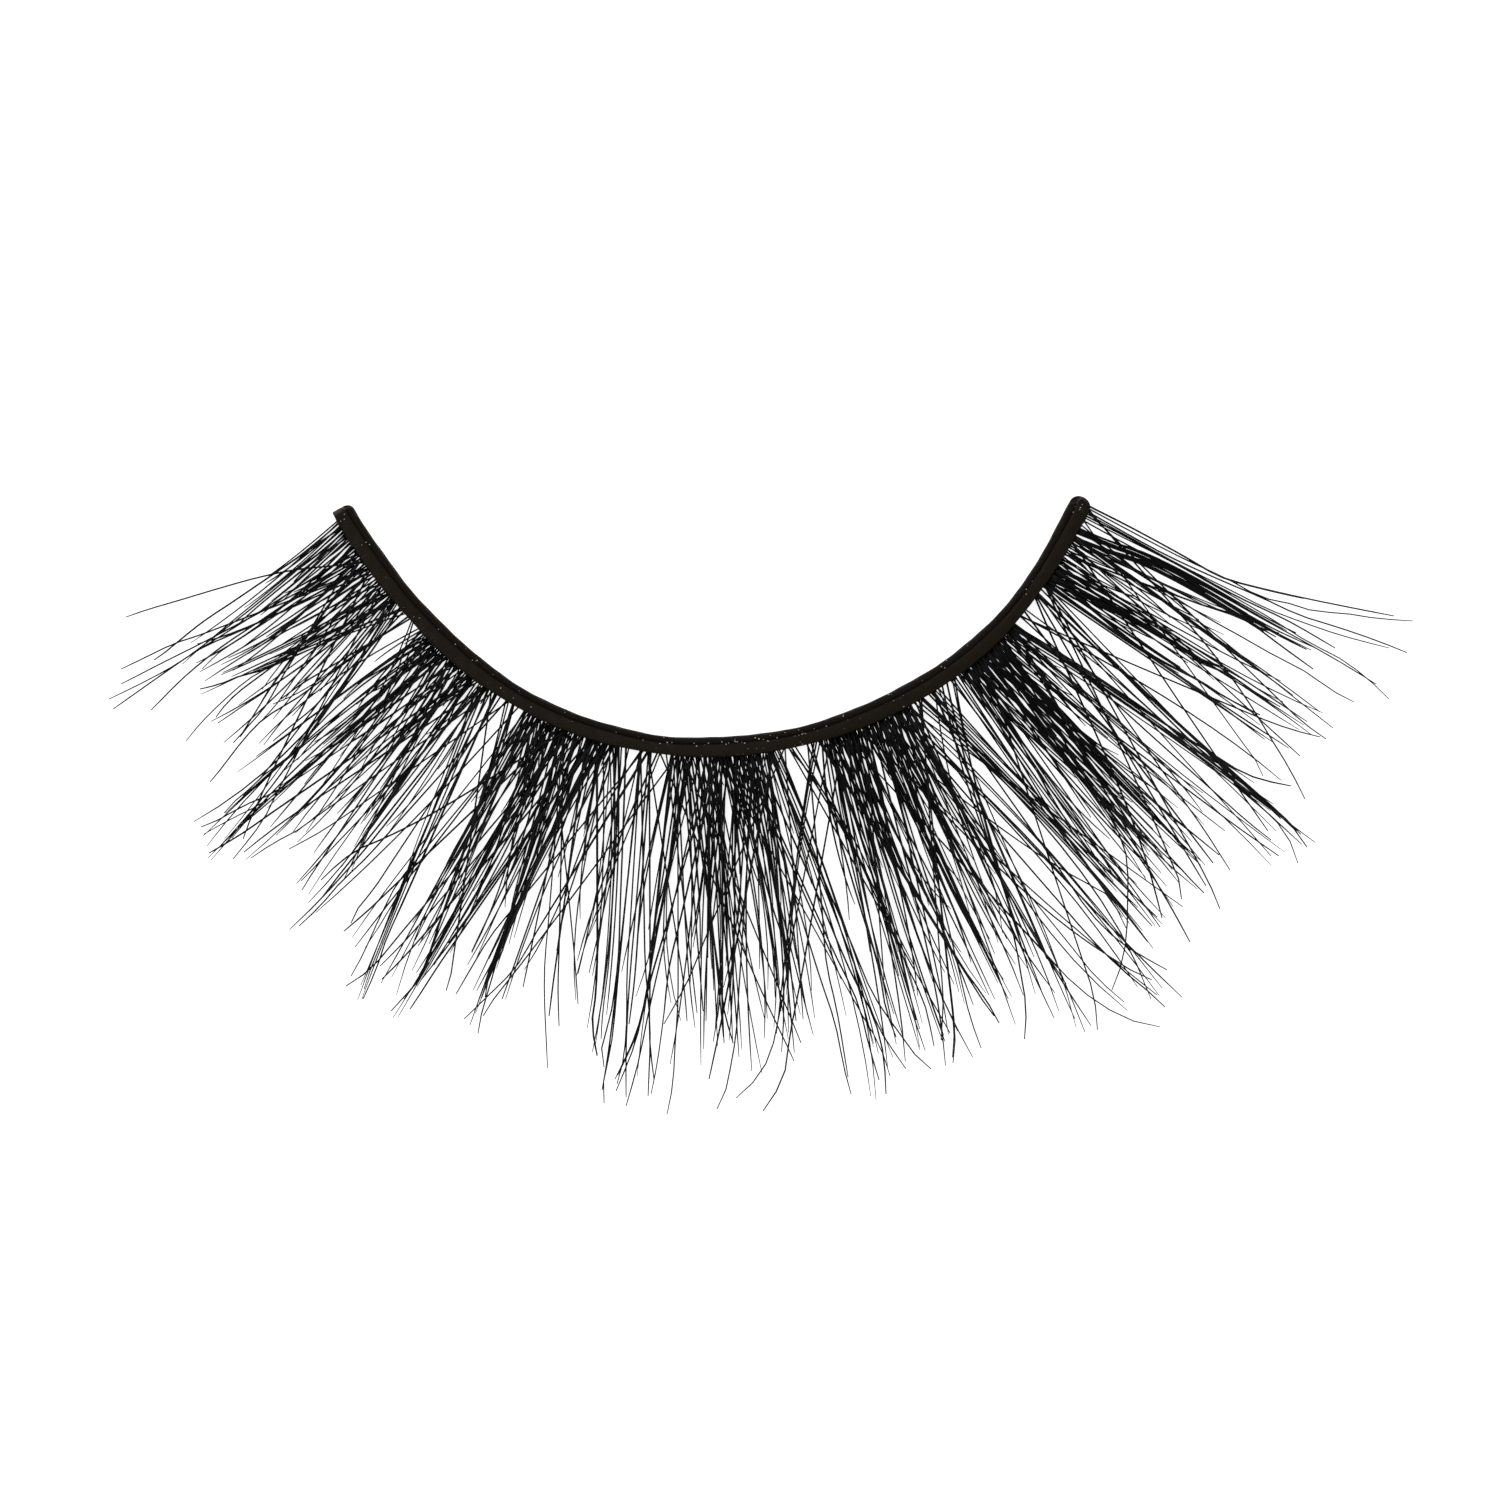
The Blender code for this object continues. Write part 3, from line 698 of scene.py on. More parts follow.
def hairLines(comb, layer):
    # A wisp's middle runs straight from root to tip with a slight bow. Each hair starts beside it, draws in towards it
    # and ends at its own share of the length. Its height is the lash sheet's, plus its layer's and its own lift.
    u = np.linspace(0, 1, hair["sections"])[None, :] * comb["length"][:, None]
    rootR = layer["rootR"][0] + (layer["rootR"][1] - layer["rootR"][0]) * comb["rootR"]
    rootMiddle = outFromEdge(comb["root"], rootR)
    root = outFromEdge(comb["root"] + comb["rootOffset"], rootR)
    tipMiddle = outFromEdge(comb["tip"], comb["reach"])
    tip = outFromEdge(comb["tip"] + comb["tipOffset"], comb["reach"])
    chord = tipMiddle - rootMiddle
    side = np.stack([-chord[:, 1], chord[:, 0]], axis=1) / np.linalg.norm(chord, axis=1)[:, None]
    apart = ((1 - u) ** comb["gather"][:, None])[..., None]
    line = rootMiddle[:, None] + u[..., None] * chord[:, None]
    line = line + apart * (root - rootMiddle)[:, None] + (1 - apart) * (tip - tipMiddle)[:, None]
    span = comb["reach"][:, None] / hair["fullReach"]
    swing = span * (4 * u * (1 - u) * comb["bow"][:, None] + comb["flick"][:, None] * u ** 4)
    line = line + swing[..., None] * side[:, None]
    wispLift, ownLift = comb["wispLift"][:, None], comb["ownLift"][:, None]
    height = layer["height"][0] + (layer["height"][1] - layer["height"][0]) * (0.5 + 0.5 * ownLift)
    height = height + layer["lift"] * (wispLift + hair["ownLiftShare"] * ownLift + 1) * (u * span) ** 2
    return np.concatenate([line, (riseOver(line) + height)[..., None]], axis=-1)


def tubesAlong(lines, radius, sides):
    # Rings round each line: the side vector lies level, across the line's direction, and the other is square to both.
    flow = np.gradient(lines, axis=1)
    flow = flow / np.linalg.norm(flow, axis=-1, keepdims=True)
    level = np.stack([-flow[..., 1], flow[..., 0], 0 * flow[..., 0]], axis=-1)
    level = level / np.linalg.norm(level, axis=-1, keepdims=True)
    square = np.cross(flow, level)
    turn = np.linspace(0, 2 * np.pi, sides, endpoint=False)
    ring = np.cos(turn)[:, None] * level[..., None, :] + np.sin(turn)[:, None] * square[..., None, :]
    return lines[..., None, :] + ring * radius[..., None, None]


def hairMesh(name, lines, comb, shape):
    # Every hair is a closed tube that keeps its width near the root and tapers to a fine tip.
    v = np.linspace(0, 1, lines.shape[1])[None, :]
    strand = comb["strand"][:, None, None]
    thickness = np.clip(comb["thickness"], -shape["widthLimit"], shape["widthLimit"])
    width = (shape["width"] + shape["widthSpread"] * thickness)[:, None]
    radius = width / 2 * (shape["tipShare"] + (1 - shape["tipShare"]) * (1 - v) ** shape["taper"])
    lines = lines.copy()
    lines[..., 2] = np.maximum(lines[..., 2], radius + shape["floorGap"])
    rings = tubesAlong(lines, radius, shape["sides"])
    index = np.arange(rings[..., 0].size).reshape(rings.shape[:3])
    marks = {"strand": strand + 0.0 * index, "along": (v * comb["length"][:, None])[..., None] + 0.0 * index}
    around = np.linspace(0, 1, shape["sides"]) + marks["strand"]
    uv = np.stack([around, marks["along"] + shape["streakShift"] * strand], axis=-1)
    return fillMesh(name, rings.reshape(-1, 3), tubeFaces(index), marks, uv.reshape(-1, 2))


shortLayer = {
    "rootR": (0.56, 0.70),
    "height": (0.06, 0.24),
    "lift": 0.10,
    "clumpSize": 5,
    "clumpPull": 0.35,         # how far the tips of neighbours draw together
    "lengthShape": 0.95,
    "jitter": 0.2,             # of a root's place in the row
    "leaning": (0.3, 1.3),     # shares of the tuft's lean that its hairs take
    "leanGrowth": 0.8,         # power of the reach that a lean grows with
    "leanBow": 0.20,
    "bow": 0.10,
    "columns": ("from", "to", "hairs", "reachLow", "reachHigh", "fan", "lean", "turn"),
    "tufts": (
        (0.30, 1.55, 22, 1.2, 8.8, 0.70, 0.35, 0.70),
        (1.55, 3.90, 42, 1.2, 8.2, 0.85, 1.20, 0.20),
        (5.10, 8.30, 74, 1.2, 9.4, 0.85, 1.40, 0.00),
        (9.75, 13.30, 84, 1.2, 10.8, 0.85, 1.45, 0.00),
        (15.10, 18.65, 82, 1.2, 12.4, 0.85, 1.50, 0.00),
        (20.40, 23.75, 88, 1.2, 13.8, 0.85, 1.30, -0.10),
        (25.65, 28.30, 70, 1.2, 11.8, 0.85, 1.15, 0.00),
        (30.05, 32.05, 42, 1.2, 8.6, 0.90, 0.80, 0.00),
    ),
}


def rootTufts(layer, shape, seed):
    # Every tuft is evenly rooted, and its hairs lean to either side in turn, so that they cross in a lattice. A hair's
    # lean grows with its reach, and each few neighbours draw their tips together.
    random = np.random.default_rng(seed)
    rows = np.array(layer["tufts"])
    hairs = rows[:, 2].astype(int)
    owner = np.repeat(np.arange(len(rows)), hairs)
    number = np.arange(len(owner)) - np.repeat(np.cumsum(hairs) - hairs, hairs)
    start, end, _, low, high, fan, lean, turn = rows[owner].T
    count = len(owner)
    place = number + 0.5 + random.uniform(-layer["jitter"], layer["jitter"], count)
    root = start + (end - start) * place / hairs[owner]
    reach = low + (high - low) * random.uniform(0, 1, count) ** layer["lengthShape"]
    way = np.where(number % 2, 1.0, -1.0) * random.uniform(*layer["leaning"], count)
    middle = (start + end) / 2
    tip = root + ((root - middle) * (fan - 1) + lean * way + turn) * (reach / high) ** layer["leanGrowth"]
    clump = np.cumsum(np.diff(owner * count + number // layer["clumpSize"], prepend=0) != 0)
    centre = (np.bincount(clump, tip) / np.maximum(np.bincount(clump), 1))[clump]
    tip = tip + layer["clumpPull"] * (centre - tip)
    return {
        "root": root, "rootOffset": 0 * root, "tip": tip, "tipOffset": 0 * root,
        "reach": reach, "length": 1 + 0 * root, "gather": 1 + 0 * root,
        "bow": layer["leanBow"] * (tip - root) + random.normal(0, layer["bow"], count),
        "wispLift": random.uniform(-1, 1, clump.max() + 1)[clump],
        **ownDraws(np.zeros(count, bool), shape, random),
    }


def makeShortLashes(layer):
    comb = rootTufts(layer, hair, seeds["short"])
    piece = hairMesh("shortLashes", hairLines(comb, layer), comb, hair)
    print("short lashes:", len(comb["root"]), "hairs in", len(layer["tufts"]), "tufts")
    return seat(piece, materials["short"], "short_lash", "under_lashes")


makeShortLashes(shortLayer)

# Wisps, as read off the photo in its pixels: places along the inner edge, reach out from it and spread of the tips.
longLayer = {
    "rootR": (0.54, 0.68),
    "height": (0.20, 0.34),
    "lift": 0.16,
    "shortest": 0.80,
    "columns": ("from", "to", "tip", "reach", "hairs", "spread"),
    "wisps": (
        (82, 90, 79, 236, 2, 2),
        (140, 150, 161, 302, 3, 4),
        (145, 155, 131, 318, 3, 2),
        (150, 170, 143, 328, 4, 4),
        (185, 200, 194, 290, 2, 2),
        (190, 215, 208, 328, 2, 2),
        (258, 274, 260, 328, 4, 5),
        (275, 300, 274, 349, 6, 3),
        (440, 460, 452, 302, 4, 6),
        (448, 476, 478, 305, 9, 6),
        (480, 496, 487, 320, 3, 4),
        (554, 566, 560, 342, 3, 3),
        (574, 588, 570, 341, 5, 4),
        (598, 622, 612, 325, 10, 7),
        (624, 640, 641, 388, 5, 3),
        (684, 696, 690, 318, 4, 5),
        (699, 711, 703, 337, 4, 4),
        (703, 723, 719, 319, 6, 8),
        (720, 744, 735, 322, 11, 8),
        (728, 742, 720, 334, 3, 5),
        (751, 764, 768, 370, 2, 3),
        (755, 767, 781, 386, 5, 4),
        (777, 786, 770, 350, 1, 3),
        (811, 821, 815, 312, 6, 4),
        (822, 837, 834, 322, 8, 5),
    ),
}
crossLayer = {
    "rootR": (0.54, 0.68),
    "height": (0.28, 0.36),
    "lift": 0.22,
    "shortest": 0.80,
    "columns": ("from", "to", "tip", "reach", "hairs", "spread"),
    "wisps": (
        (62, 80, 100, 240, 1, 6),
        (78, 98, 52, 228, 4, 4),
        (84, 98, 147, 326, 4, 5),
        (92, 106, 131, 312, 1, 3),
        (104, 112, 62, 190, 2, 5),
        (114, 122, 164, 245, 2, 5),
        (211, 228, 252, 350, 4, 3),
        (236, 246, 272, 300, 3, 3),
        (242, 252, 208, 300, 1, 3),
        (255, 266, 230, 305, 2, 3),
        (325, 350, 311, 327, 6, 4),
        (334, 356, 379, 322, 4, 4),
        (372, 381, 340, 230, 1, 4),
        (388, 397, 352, 250, 2, 4),
        (494, 508, 530, 378, 6, 3),
        (514, 523, 562, 262, 3, 4),
        (539, 550, 482, 300, 3, 5),
        (618, 640, 683, 408, 5, 3),
        (642, 655, 694, 384, 4, 4),
        (658, 669, 702, 338, 4, 4),
        (664, 677, 632, 300, 2, 6),
        (681, 692, 630, 332, 3, 5),
        (771, 782, 803, 322, 1, 3),
        (800, 812, 784, 340, 2, 4),
        (811, 819, 783, 377, 1, 3),
    ),
}


def makeWispPiece(name, layer, seed, *replaced):
    start, end, tip, reach, hairs, spread = np.array(layer["wisps"], dtype=float).T
    start, end, tip = (toGrid(pixel + view["countFrom"], view["alongGrid"]) for pixel in (start, end, tip))
    wisps = {"from": start, "to": end, "tip": tip, "reach": toGrid(reach, view["outGrid"]),
             "hairs": hairs.astype(int), "spread": hair["spreadGain"] * toGrid(spread, view["alongGrid"])}
    comb = combWisps(wisps, layer["shortest"], hair, seed)
    piece = hairMesh(name, hairLines(comb, layer), comb, hair)
    print(name + ":", len(comb["root"]), "hairs in", len(start), "wisps")
    return seat(piece, materials["long"], "long_lash", *replaced)


makeWispPiece("longLashes", longLayer, seeds["long"], "long_lashes")
makeWispPiece("crossingLashes", crossLayer, seeds["cross"])

# Single hairs, and strands of a few hairs, whose way stands out. Each has its number of hairs, how far they spread,
# and the pixels of the photo that it passes on its way to the tip.
strays = {
    "rootR": 0.62,
    "rootLimit": 3.2,          # how far along the band from the first pixel a root may be
    "rootSearch": 20.0,
    "rootStep": 0.02,
    "endMargin": 0.3,
    "sections": 18,
    "height": 0.30,
    "rootLift": 0.04,
    "tipRise": 0.3,
    "tipShare": 0.60,
    "shortest": 0.68,          # share of its strand's length that a hair beside the first one reaches
    "columns": ("hairs", "spread", "through"),
    "rows": (
        (1, 0.00, ((234, 601), (200, 624), (180, 640), (160, 656), (154, 660))),
        (1, 0.00, ((234, 622), (200, 635), (176, 643), (140, 660), (121, 669))),
        (1, 0.00, ((240, 623), (200, 644), (160, 664), (121, 684))),
        (1, 0.00, ((240, 624), (200, 649), (170, 668), (140, 684), (109, 699))),
        (1, 0.00, ((240, 631), (200, 649), (170, 669), (140, 690), (113, 709))),
        (1, 0.00, ((260, 621), (220, 648), (180, 681), (160, 701), (151, 710))),
        (1, 0.00, ((240, 639), (220, 652), (202, 669))),
        (1, 0.00, ((290, 655), (260, 671), (240, 676), (220, 684), (200, 689))),
        (1, 0.00, ((280, 663), (260, 672), (220, 704), (200, 724), (186, 741))),
        (1, 0.00, ((260, 676), (240, 691), (227, 703), (216, 717))),
        (1, 0.00, ((294, 671), (266, 691), (240, 708), (218, 723))),
        (2, 0.08, ((290, 661), (270, 689), (253, 716), (239, 737), (233, 743))),
        (1, 0.00, ((280, 681), (262, 711), (250, 724), (240, 737))),
        (1, 0.00, ((330, 674), (300, 696), (260, 722), (240, 744), (220, 770), (210, 782))),
        (1, 0.00, ((305, 663), (290, 685), (275, 706), (262, 720))),
        (1, 0.00, ((330, 667), (300, 685), (281, 699))),
        (1, 0.00, ((330, 672), (310, 686), (290, 697), (273, 704))),
        (1, 0.00, ((330, 690), (314, 707), (286, 730), (273, 741))),
        (1, 0.00, ((303, 723), (280, 753), (258, 781), (230, 806), (224, 813))),
        (1, 0.00, ((314, 723), (290, 755), (264, 775), (243, 796))),
        (1, 0.00, ((299, 774), (280, 789), (241, 807), (220, 819), (201, 827))),
        (1, 0.00, ((294, 781), (257, 806), (231, 819), (204, 834))),
        (2, 0.12, ((306, 789), (274, 811), (241, 834), (221, 846), (209, 853))),
        (1, 0.00, ((330, 790), (300, 810), (264, 836), (244, 852))),
        (1, 0.00, ((340, 800), (320, 814), (293, 833), (277, 841), (251, 858))),
        (1, 0.00, ((376, 794), (340, 819), (320, 832), (289, 849))),
        (1, 0.00, ((276, 795), (262, 822), (246, 843), (233, 859))),
        (1, 0.00, ((258, 803), (249, 823), (243, 839))),
        (1, 0.00, ((340, 840), (320, 861), (309, 873), (301, 881))),
        (1, 0.00, ((320, 862), (310, 877), (302, 890))),
        (1, 0.00, ((380, 840), (359, 849), (344, 859), (321, 880))),
        (1, 0.00, ((400, 820), (364, 860), (340, 883), (319, 907), (299, 926))),
        (1, 0.00, ((360, 849), (340, 874), (320, 900))),
        (1, 0.00, ((353, 861), (344, 879))),
        (1, 0.00, ((391, 863), (373, 890), (357, 910), (351, 923))),
        (1, 0.00, ((400, 880), (364, 914), (344, 931))),
        (1, 0.00, ((418, 858), (399, 881), (380, 917), (360, 960), (351, 976))),
        (1, 0.00, ((440, 887), (400, 934), (373, 966), (353, 982), (346, 986))),
        (2, 0.12, ((400, 909), (386, 940), (377, 967), (363, 999))),
        (1, 0.00, ((380, 946), (370, 971), (364, 989))),
        (1, 0.00, ((456, 897), (420, 939), (400, 961), (382, 979))),
        (1, 0.00, ((440, 900), (403, 943), (380, 966))),
        (2, 0.10, ((437, 931), (421, 977), (401, 1000), (391, 1011))),
        (1, 0.00, ((427, 959), (418, 980), (404, 999))),
        (1, 0.00, ((456, 940), (440, 963), (420, 994), (410, 1009))),
        (2, 0.12, ((480, 901), (450, 943), (421, 980))),
        (1, 0.00, ((456, 940), (453, 960), (449, 983), (446, 991))),
        (1, 0.00, ((523, 897), (490, 937), (470, 970), (456, 994))),
        (1, 0.00, ((511, 917), (500, 957), (490, 974), (485, 997))),
        (2, 0.10, ((540, 926), (511, 973), (497, 987), (464, 1019))),
        (1, 0.00, ((511, 977), (493, 1000), (483, 1016))),
        (1, 0.00, ((490, 985), (481, 1016), (478, 1033))),
        (1, 0.00, ((511, 974), (502, 999))),
        (1, 0.00, ((530, 954), (523, 987))),
        (1, 0.00, ((549, 915), (544.5, 970), (544.5, 1000), (546, 1036), (547.5, 1068))),
        (1, 0.00, ((559, 941), (553, 984), (549, 1016))),
        (1, 0.00, ((559, 951), (558, 990), (559, 1026))),
        (1, 0.00, ((571, 920), (574, 951), (578, 1004))),
        (1, 0.00, ((586, 939), (578, 974))),
        (1, 0.00, ((597, 939), (589, 973))),
        (3, 0.10, ((597, 917), (597, 960), (594, 1007), (592, 1020), (597, 1056))),
        (1, 0.00, ((612, 910), (609, 960), (602, 1021), (601, 1039))),
        (2, 0.10, ((620, 910), (618, 960), (611, 1013), (602, 1060), (604, 1067))),
        (1, 0.00, ((619, 960), (612, 1024), (604, 1079), (602, 1090))),
        (1, 0.00, ((619, 967), (611, 1046), (603, 1091), (604, 1103))),
        (1, 0.00, ((631, 910), (627, 974), (626, 1031), (623, 1061), (617, 1084))),
        (1, 0.00, ((635, 917), (629, 989), (626, 1053), (626, 1097))),
        (1, 0.00, ((639, 917), (634, 984), (629, 1024))),
        (3, 0.14, ((655, 924), (649, 979), (637, 1031), (615, 1079))),
        (2, 0.08, ((667, 924), (649, 986), (634, 1046), (616, 1091))),
        (1, 0.00, ((667, 931), (649, 1010), (637, 1067), (626, 1106))),
        (1, 0.00, ((644, 910), (645, 960), (650, 1031), (648, 1096))),
        (1, 0.00, ((650, 981), (650, 1045), (654, 1080))),
        (2, 0.10, ((679, 924), (669, 967), (663, 1021), (654, 1080), (651, 1094))),
        (1, 0.00, ((679, 954), (684, 987), (687, 1021))),
        (1, 0.00, ((690, 953), (697, 1013))),
        (1, 0.00, ((696, 924), (703, 1011))),
        (1, 0.00, ((707, 953), (706, 1021))),
        (1, 0.00, ((719, 981), (715, 1031))),
        (2, 0.08, ((731, 970), (720, 1027), (709, 1079))),
        (1, 0.00, ((722, 1001), (724, 1043))),
        (1, 0.00, ((721, 989), (724, 1010), (733, 1043))),
        (1, 0.00, ((783, 999), (801, 1043))),
        (1, 0.00, ((779, 1029), (789, 1050), (794, 1061))),
        (1, 0.00, ((799, 960), (803, 1019))),
        (1, 0.00, ((790, 964), (796, 1021))),
        (1, 0.00, ((799, 910), (821, 981), (834, 1020), (846, 1076), (851, 1094))),
        (1, 0.00, ((822, 910), (827, 967), (836, 1007), (848, 1077))),
        (1, 0.00, ((813, 914), (831, 954), (841, 979))),
        (1, 0.00, ((824, 910), (854, 979), (873, 1016), (883, 1053), (886, 1094))),
        (1, 0.00, ((831, 946), (860, 1010), (869, 1046), (879, 1080))),
        (1, 0.00, ((861, 1013), (881, 1049), (890, 1076))),
        (1, 0.00, ((860, 979), (880, 1030), (906, 1069))),
        (1, 0.00, ((852, 945), (874, 996), (900, 1034), (920, 1060), (931, 1069))),
        (1, 0.00, ((861, 910), (879, 970), (887, 1013), (896, 1037))),
        (1, 0.00, ((879, 914), (884, 980))),
        (1, 0.00, ((890, 943), (899, 976))),
        (1, 0.00, ((899, 950), (910, 996), (916, 1020))),
        (1, 0.00, ((909, 970), (924, 1003), (934, 1046))),
        (1, 0.00, ((940, 960), (943, 999), (941, 1040))),
        (2, 0.08, ((949, 977), (954, 1021), (955, 1039), (953, 1063))),
        (1, 0.00, ((959, 971), (971, 1020), (981, 1048))),
        (1, 0.00, ((929, 996), (950, 1033))),
        (1, 0.00, ((955, 955), (967, 974), (986, 1000), (999, 1023))),
        (1, 0.00, ((969, 979), (983, 1001), (994, 1016))),
        (1, 0.00, ((1000, 902), (1012, 930), (1020, 970), (1026, 1010), (1024.5, 1039))),
        (1, 0.00, ((1012, 928), (1035, 978), (1054, 1018))),
        (2, 0.10, ((1043, 947), (1063, 993), (1075, 1019))),
        (1, 0.00, ((1047, 942), (1065, 983), (1085, 1032))),
        (1, 0.00, ((1070, 923), (1083, 962), (1094, 997), (1097.5, 1030))),
        (2, 0.06, ((1045, 953), (1073, 983), (1097, 1002), (1133, 1021), (1160, 1027))),
        (1, 0.00, ((1070, 945), (1097, 978), (1124, 1002))),
        (1, 0.00, ((1060, 903), (1095, 943), (1120, 968), (1150, 993), (1165, 1007))),
        (1, 0.00, ((1107, 955), (1138, 980), (1157, 995))),
        (1, 0.00, ((1110, 957), (1138, 974), (1152, 980))),
        (1, 0.00, ((1067, 880), (1092, 915), (1120, 942), (1167, 970))),
        (1, 0.00, ((1080, 880), (1107, 895), (1126, 928))),
        (1, 0.00, ((1117, 880), (1157, 917))),
        (1, 0.00, ((1130, 885), (1160, 927))),
        (1, 0.00, ((1130, 902), (1152, 926))),
        (1, 0.00, ((1154, 888), (1162, 918))),
        (1, 0.00, ((1155, 880), (1178, 920), (1190, 942))),
        (1, 0.00, ((1148, 882), (1183, 907))),
        (1, 0.00, ((1254, 711), (1271, 739), (1290, 770), (1305, 799))),
        (1, 0.00, ((1279, 700), (1301, 721), (1326, 739))),
        (1, 0.00, ((1297, 700), (1333, 728))),
        (1, 0.00, ((1255, 716), (1267, 721), (1300, 732), (1320, 737))),
        (1, 0.00, ((1270, 729), (1300, 756))),
        (1, 0.00, ((1225, 762), (1241, 772), (1271, 782), (1291, 786))),
        (1, 0.00, ((1241, 741), (1257, 763), (1263, 776))),
        (3, 0.14, ((1240, 780), (1277, 813), (1300, 836), (1307, 847))),
        (1, 0.00, ((1260, 806), (1280, 826), (1294, 850), (1298, 863))),
        (1, 0.00, ((1246, 800), (1268, 831))),
        (1, 0.00, ((1223, 800), (1249, 823), (1271, 840))),
        (1, 0.00, ((1201, 800), (1240, 829), (1279, 856))),
        (1, 0.00, ((1220, 799), (1243, 824), (1271, 856))),
        (1, 0.00, ((1180, 796), (1200, 824), (1230, 870))),
        (1, 0.00, ((1181, 797), (1225, 831))),
        (1, 0.00, ((1181, 824), (1219, 855))),
        (1, 0.00, ((1183, 824), (1213, 863))),
        (1, 0.00, ((1173, 818), (1200, 866), (1214, 894), (1220, 909))),
        (1, 0.00, ((1170, 857), (1191, 880), (1204, 893))),
        (1, 0.00, ((1169, 857), (1179, 881), (1181.5, 899))),
        (1, 0.00, ((1180, 843), (1206, 886))),
        (1, 0.00, ((320, 567), (300, 569), (260, 577), (220, 588), (180, 600), (140, 612), (126, 617))),
        (1, 0.00, ((796, 917), (791, 943), (783, 996), (777, 1025), (769, 1057), (755, 1080), (736, 1098))),
        (1, 0.00, ((813, 910), (803, 967), (796, 1004), (789, 1039), (786, 1067), (780, 1084), (771, 1100),
                   (763, 1111))),
        (1, 0.00, ((738, 1003), (736, 1034), (731, 1064), (726, 1089), (717, 1109))),
        (1, 0.00, ((678, 967), (678, 996), (675, 1046), (672, 1089), (667, 1114))),
        (1, 0.00, ((717, 910), (700, 951), (690, 976), (678, 999), (664, 1024))),
        (1, 0.00, ((1060, 735), (1100, 800), (1125, 850), (1127.5, 902), (1125, 947), (1117, 978),
                   (1112, 990))),
        (2, 0.07, ((1090, 507), (1121, 522.5), (1180, 554), (1224, 578), (1260, 588), (1299, 597),
                   (1340, 605.5), (1394, 616))),
        (1, 0.00, ((1089, 509), (1130, 531), (1180, 557), (1233, 582), (1260, 596.5), (1299, 606), (1316, 612),
                   (1335, 612.5), (1379, 618.6), (1413, 621))),
        (1, 0.00, ((1088, 512), (1120, 530), (1160, 552), (1220, 580), (1260, 597), (1299, 615), (1340, 628),
                   (1379, 641.5), (1407, 652.6))),
        (1, 0.00, ((1087, 514), (1120, 532), (1180, 565), (1230, 590), (1270, 610), (1299, 621), (1340, 635),
                   (1389, 648))),
        (1, 0.00, ((1085, 518), (1120, 536), (1170, 561), (1220, 589), (1270, 618), (1310, 643), (1340, 658.5),
                   (1379, 689), (1389, 699))),
        (1, 0.00, ((1084, 521), (1120, 541), (1160, 562), (1200, 583), (1250, 612), (1310, 645), (1340, 662),
                   (1376, 684))),
        (1, 0.00, ((1086, 516), (1130, 539), (1180, 566), (1240, 598), (1290, 622), (1335, 648))),
        (15, 0.62, ((1080, 535), (1110, 547), (1140, 557), (1170, 571), (1200, 587), (1240, 610), (1280, 632),
                    (1315, 648))),
        (1, 0.00, ((1075, 541), (1119, 562), (1165, 591), (1199, 613), (1240, 636), (1281, 659), (1299, 668),
                   (1340, 695), (1354, 702))),
        (1, 0.00, ((1126, 563), (1165, 590), (1199, 604), (1231, 613.5), (1260, 628), (1279, 633))),
        (1, 0.00, ((1199, 604), (1246, 621), (1281, 646), (1313, 669))),
        (3, 0.34, ((1100, 555), (1140, 582), (1180, 612), (1220, 641), (1260, 668), (1300, 697), (1320, 712))),
        (4, 0.45, ((1110, 607), (1140, 624), (1170, 641), (1195, 657), (1230, 672), (1260, 690), (1283, 702))),
        (3, 0.34, ((1100, 615), (1130, 640), (1160, 660), (1175, 668), (1200, 681), (1225, 697), (1260, 715))),
    ),
}


def rootOf(first, second, shape):
    # The line from the second point through the first is followed back to the row of roots. Where that would be too
    # far along the band, or nowhere, the root is at the limit, on that side.
    step = np.arange(0, shape["rootSearch"], shape["rootStep"])[:, None]
    ray = first + step * (first - second) / np.linalg.norm(first - second)
    stations, r = nearestEdge(ray)
    meets = r <= shape["rootR"]
    found = meets.argmax() if meets.any() else r.argmin()
    along = stations[found] - stations[0]
    if meets.any() and abs(along) <= shape["rootLimit"]:
        return ray[found]
    station = stations[0] + np.sign(along) * shape["rootLimit"]
    return outFromEdge(np.clip(station, shape["endMargin"], bandLength - shape["endMargin"]), shape["rootR"])


def strandPoints(readings, shape):
    # The root, and the places over which the readings lie at the height that the strand has there.
    flat = fromPhoto(readings, view["focus"])
    far = np.concatenate([[0.0], np.cumsum(np.hypot(*np.diff(flat, axis=0).T))])
    height = riseOver(flat) + shape["height"] + shape["tipRise"] * (far / far[-1]) ** 2
    seen = fromPhoto(readings, height)
    return np.vstack([rootOf(seen[0], seen[1], shape), seen])


def smoothThrough(points, shares):
    # The places at these shares of the way through the points: each span is a cubic whose slopes at the points are
    # half the way between their neighbours.
    far = np.concatenate([[0.0], np.cumsum(np.hypot(*np.diff(points, axis=0).T))])
    slopes = np.gradient(points, far, axis=0)
    walk = shares * far[-1]
    span = np.clip(np.searchsorted(far, walk, side="right") - 1, 0, len(points) - 2)
    step = (far[span + 1] - far[span])[:, None]
    t = ((walk - far[span])[:, None]) / step
    return ((2 * t ** 3 - 3 * t ** 2 + 1) * points[span] + (t ** 3 - 2 * t ** 2 + t) * step * slopes[span]
            + (3 * t ** 2 - 2 * t ** 3) * points[span + 1] + (t ** 3 - t ** 2) * step * slopes[span + 1])


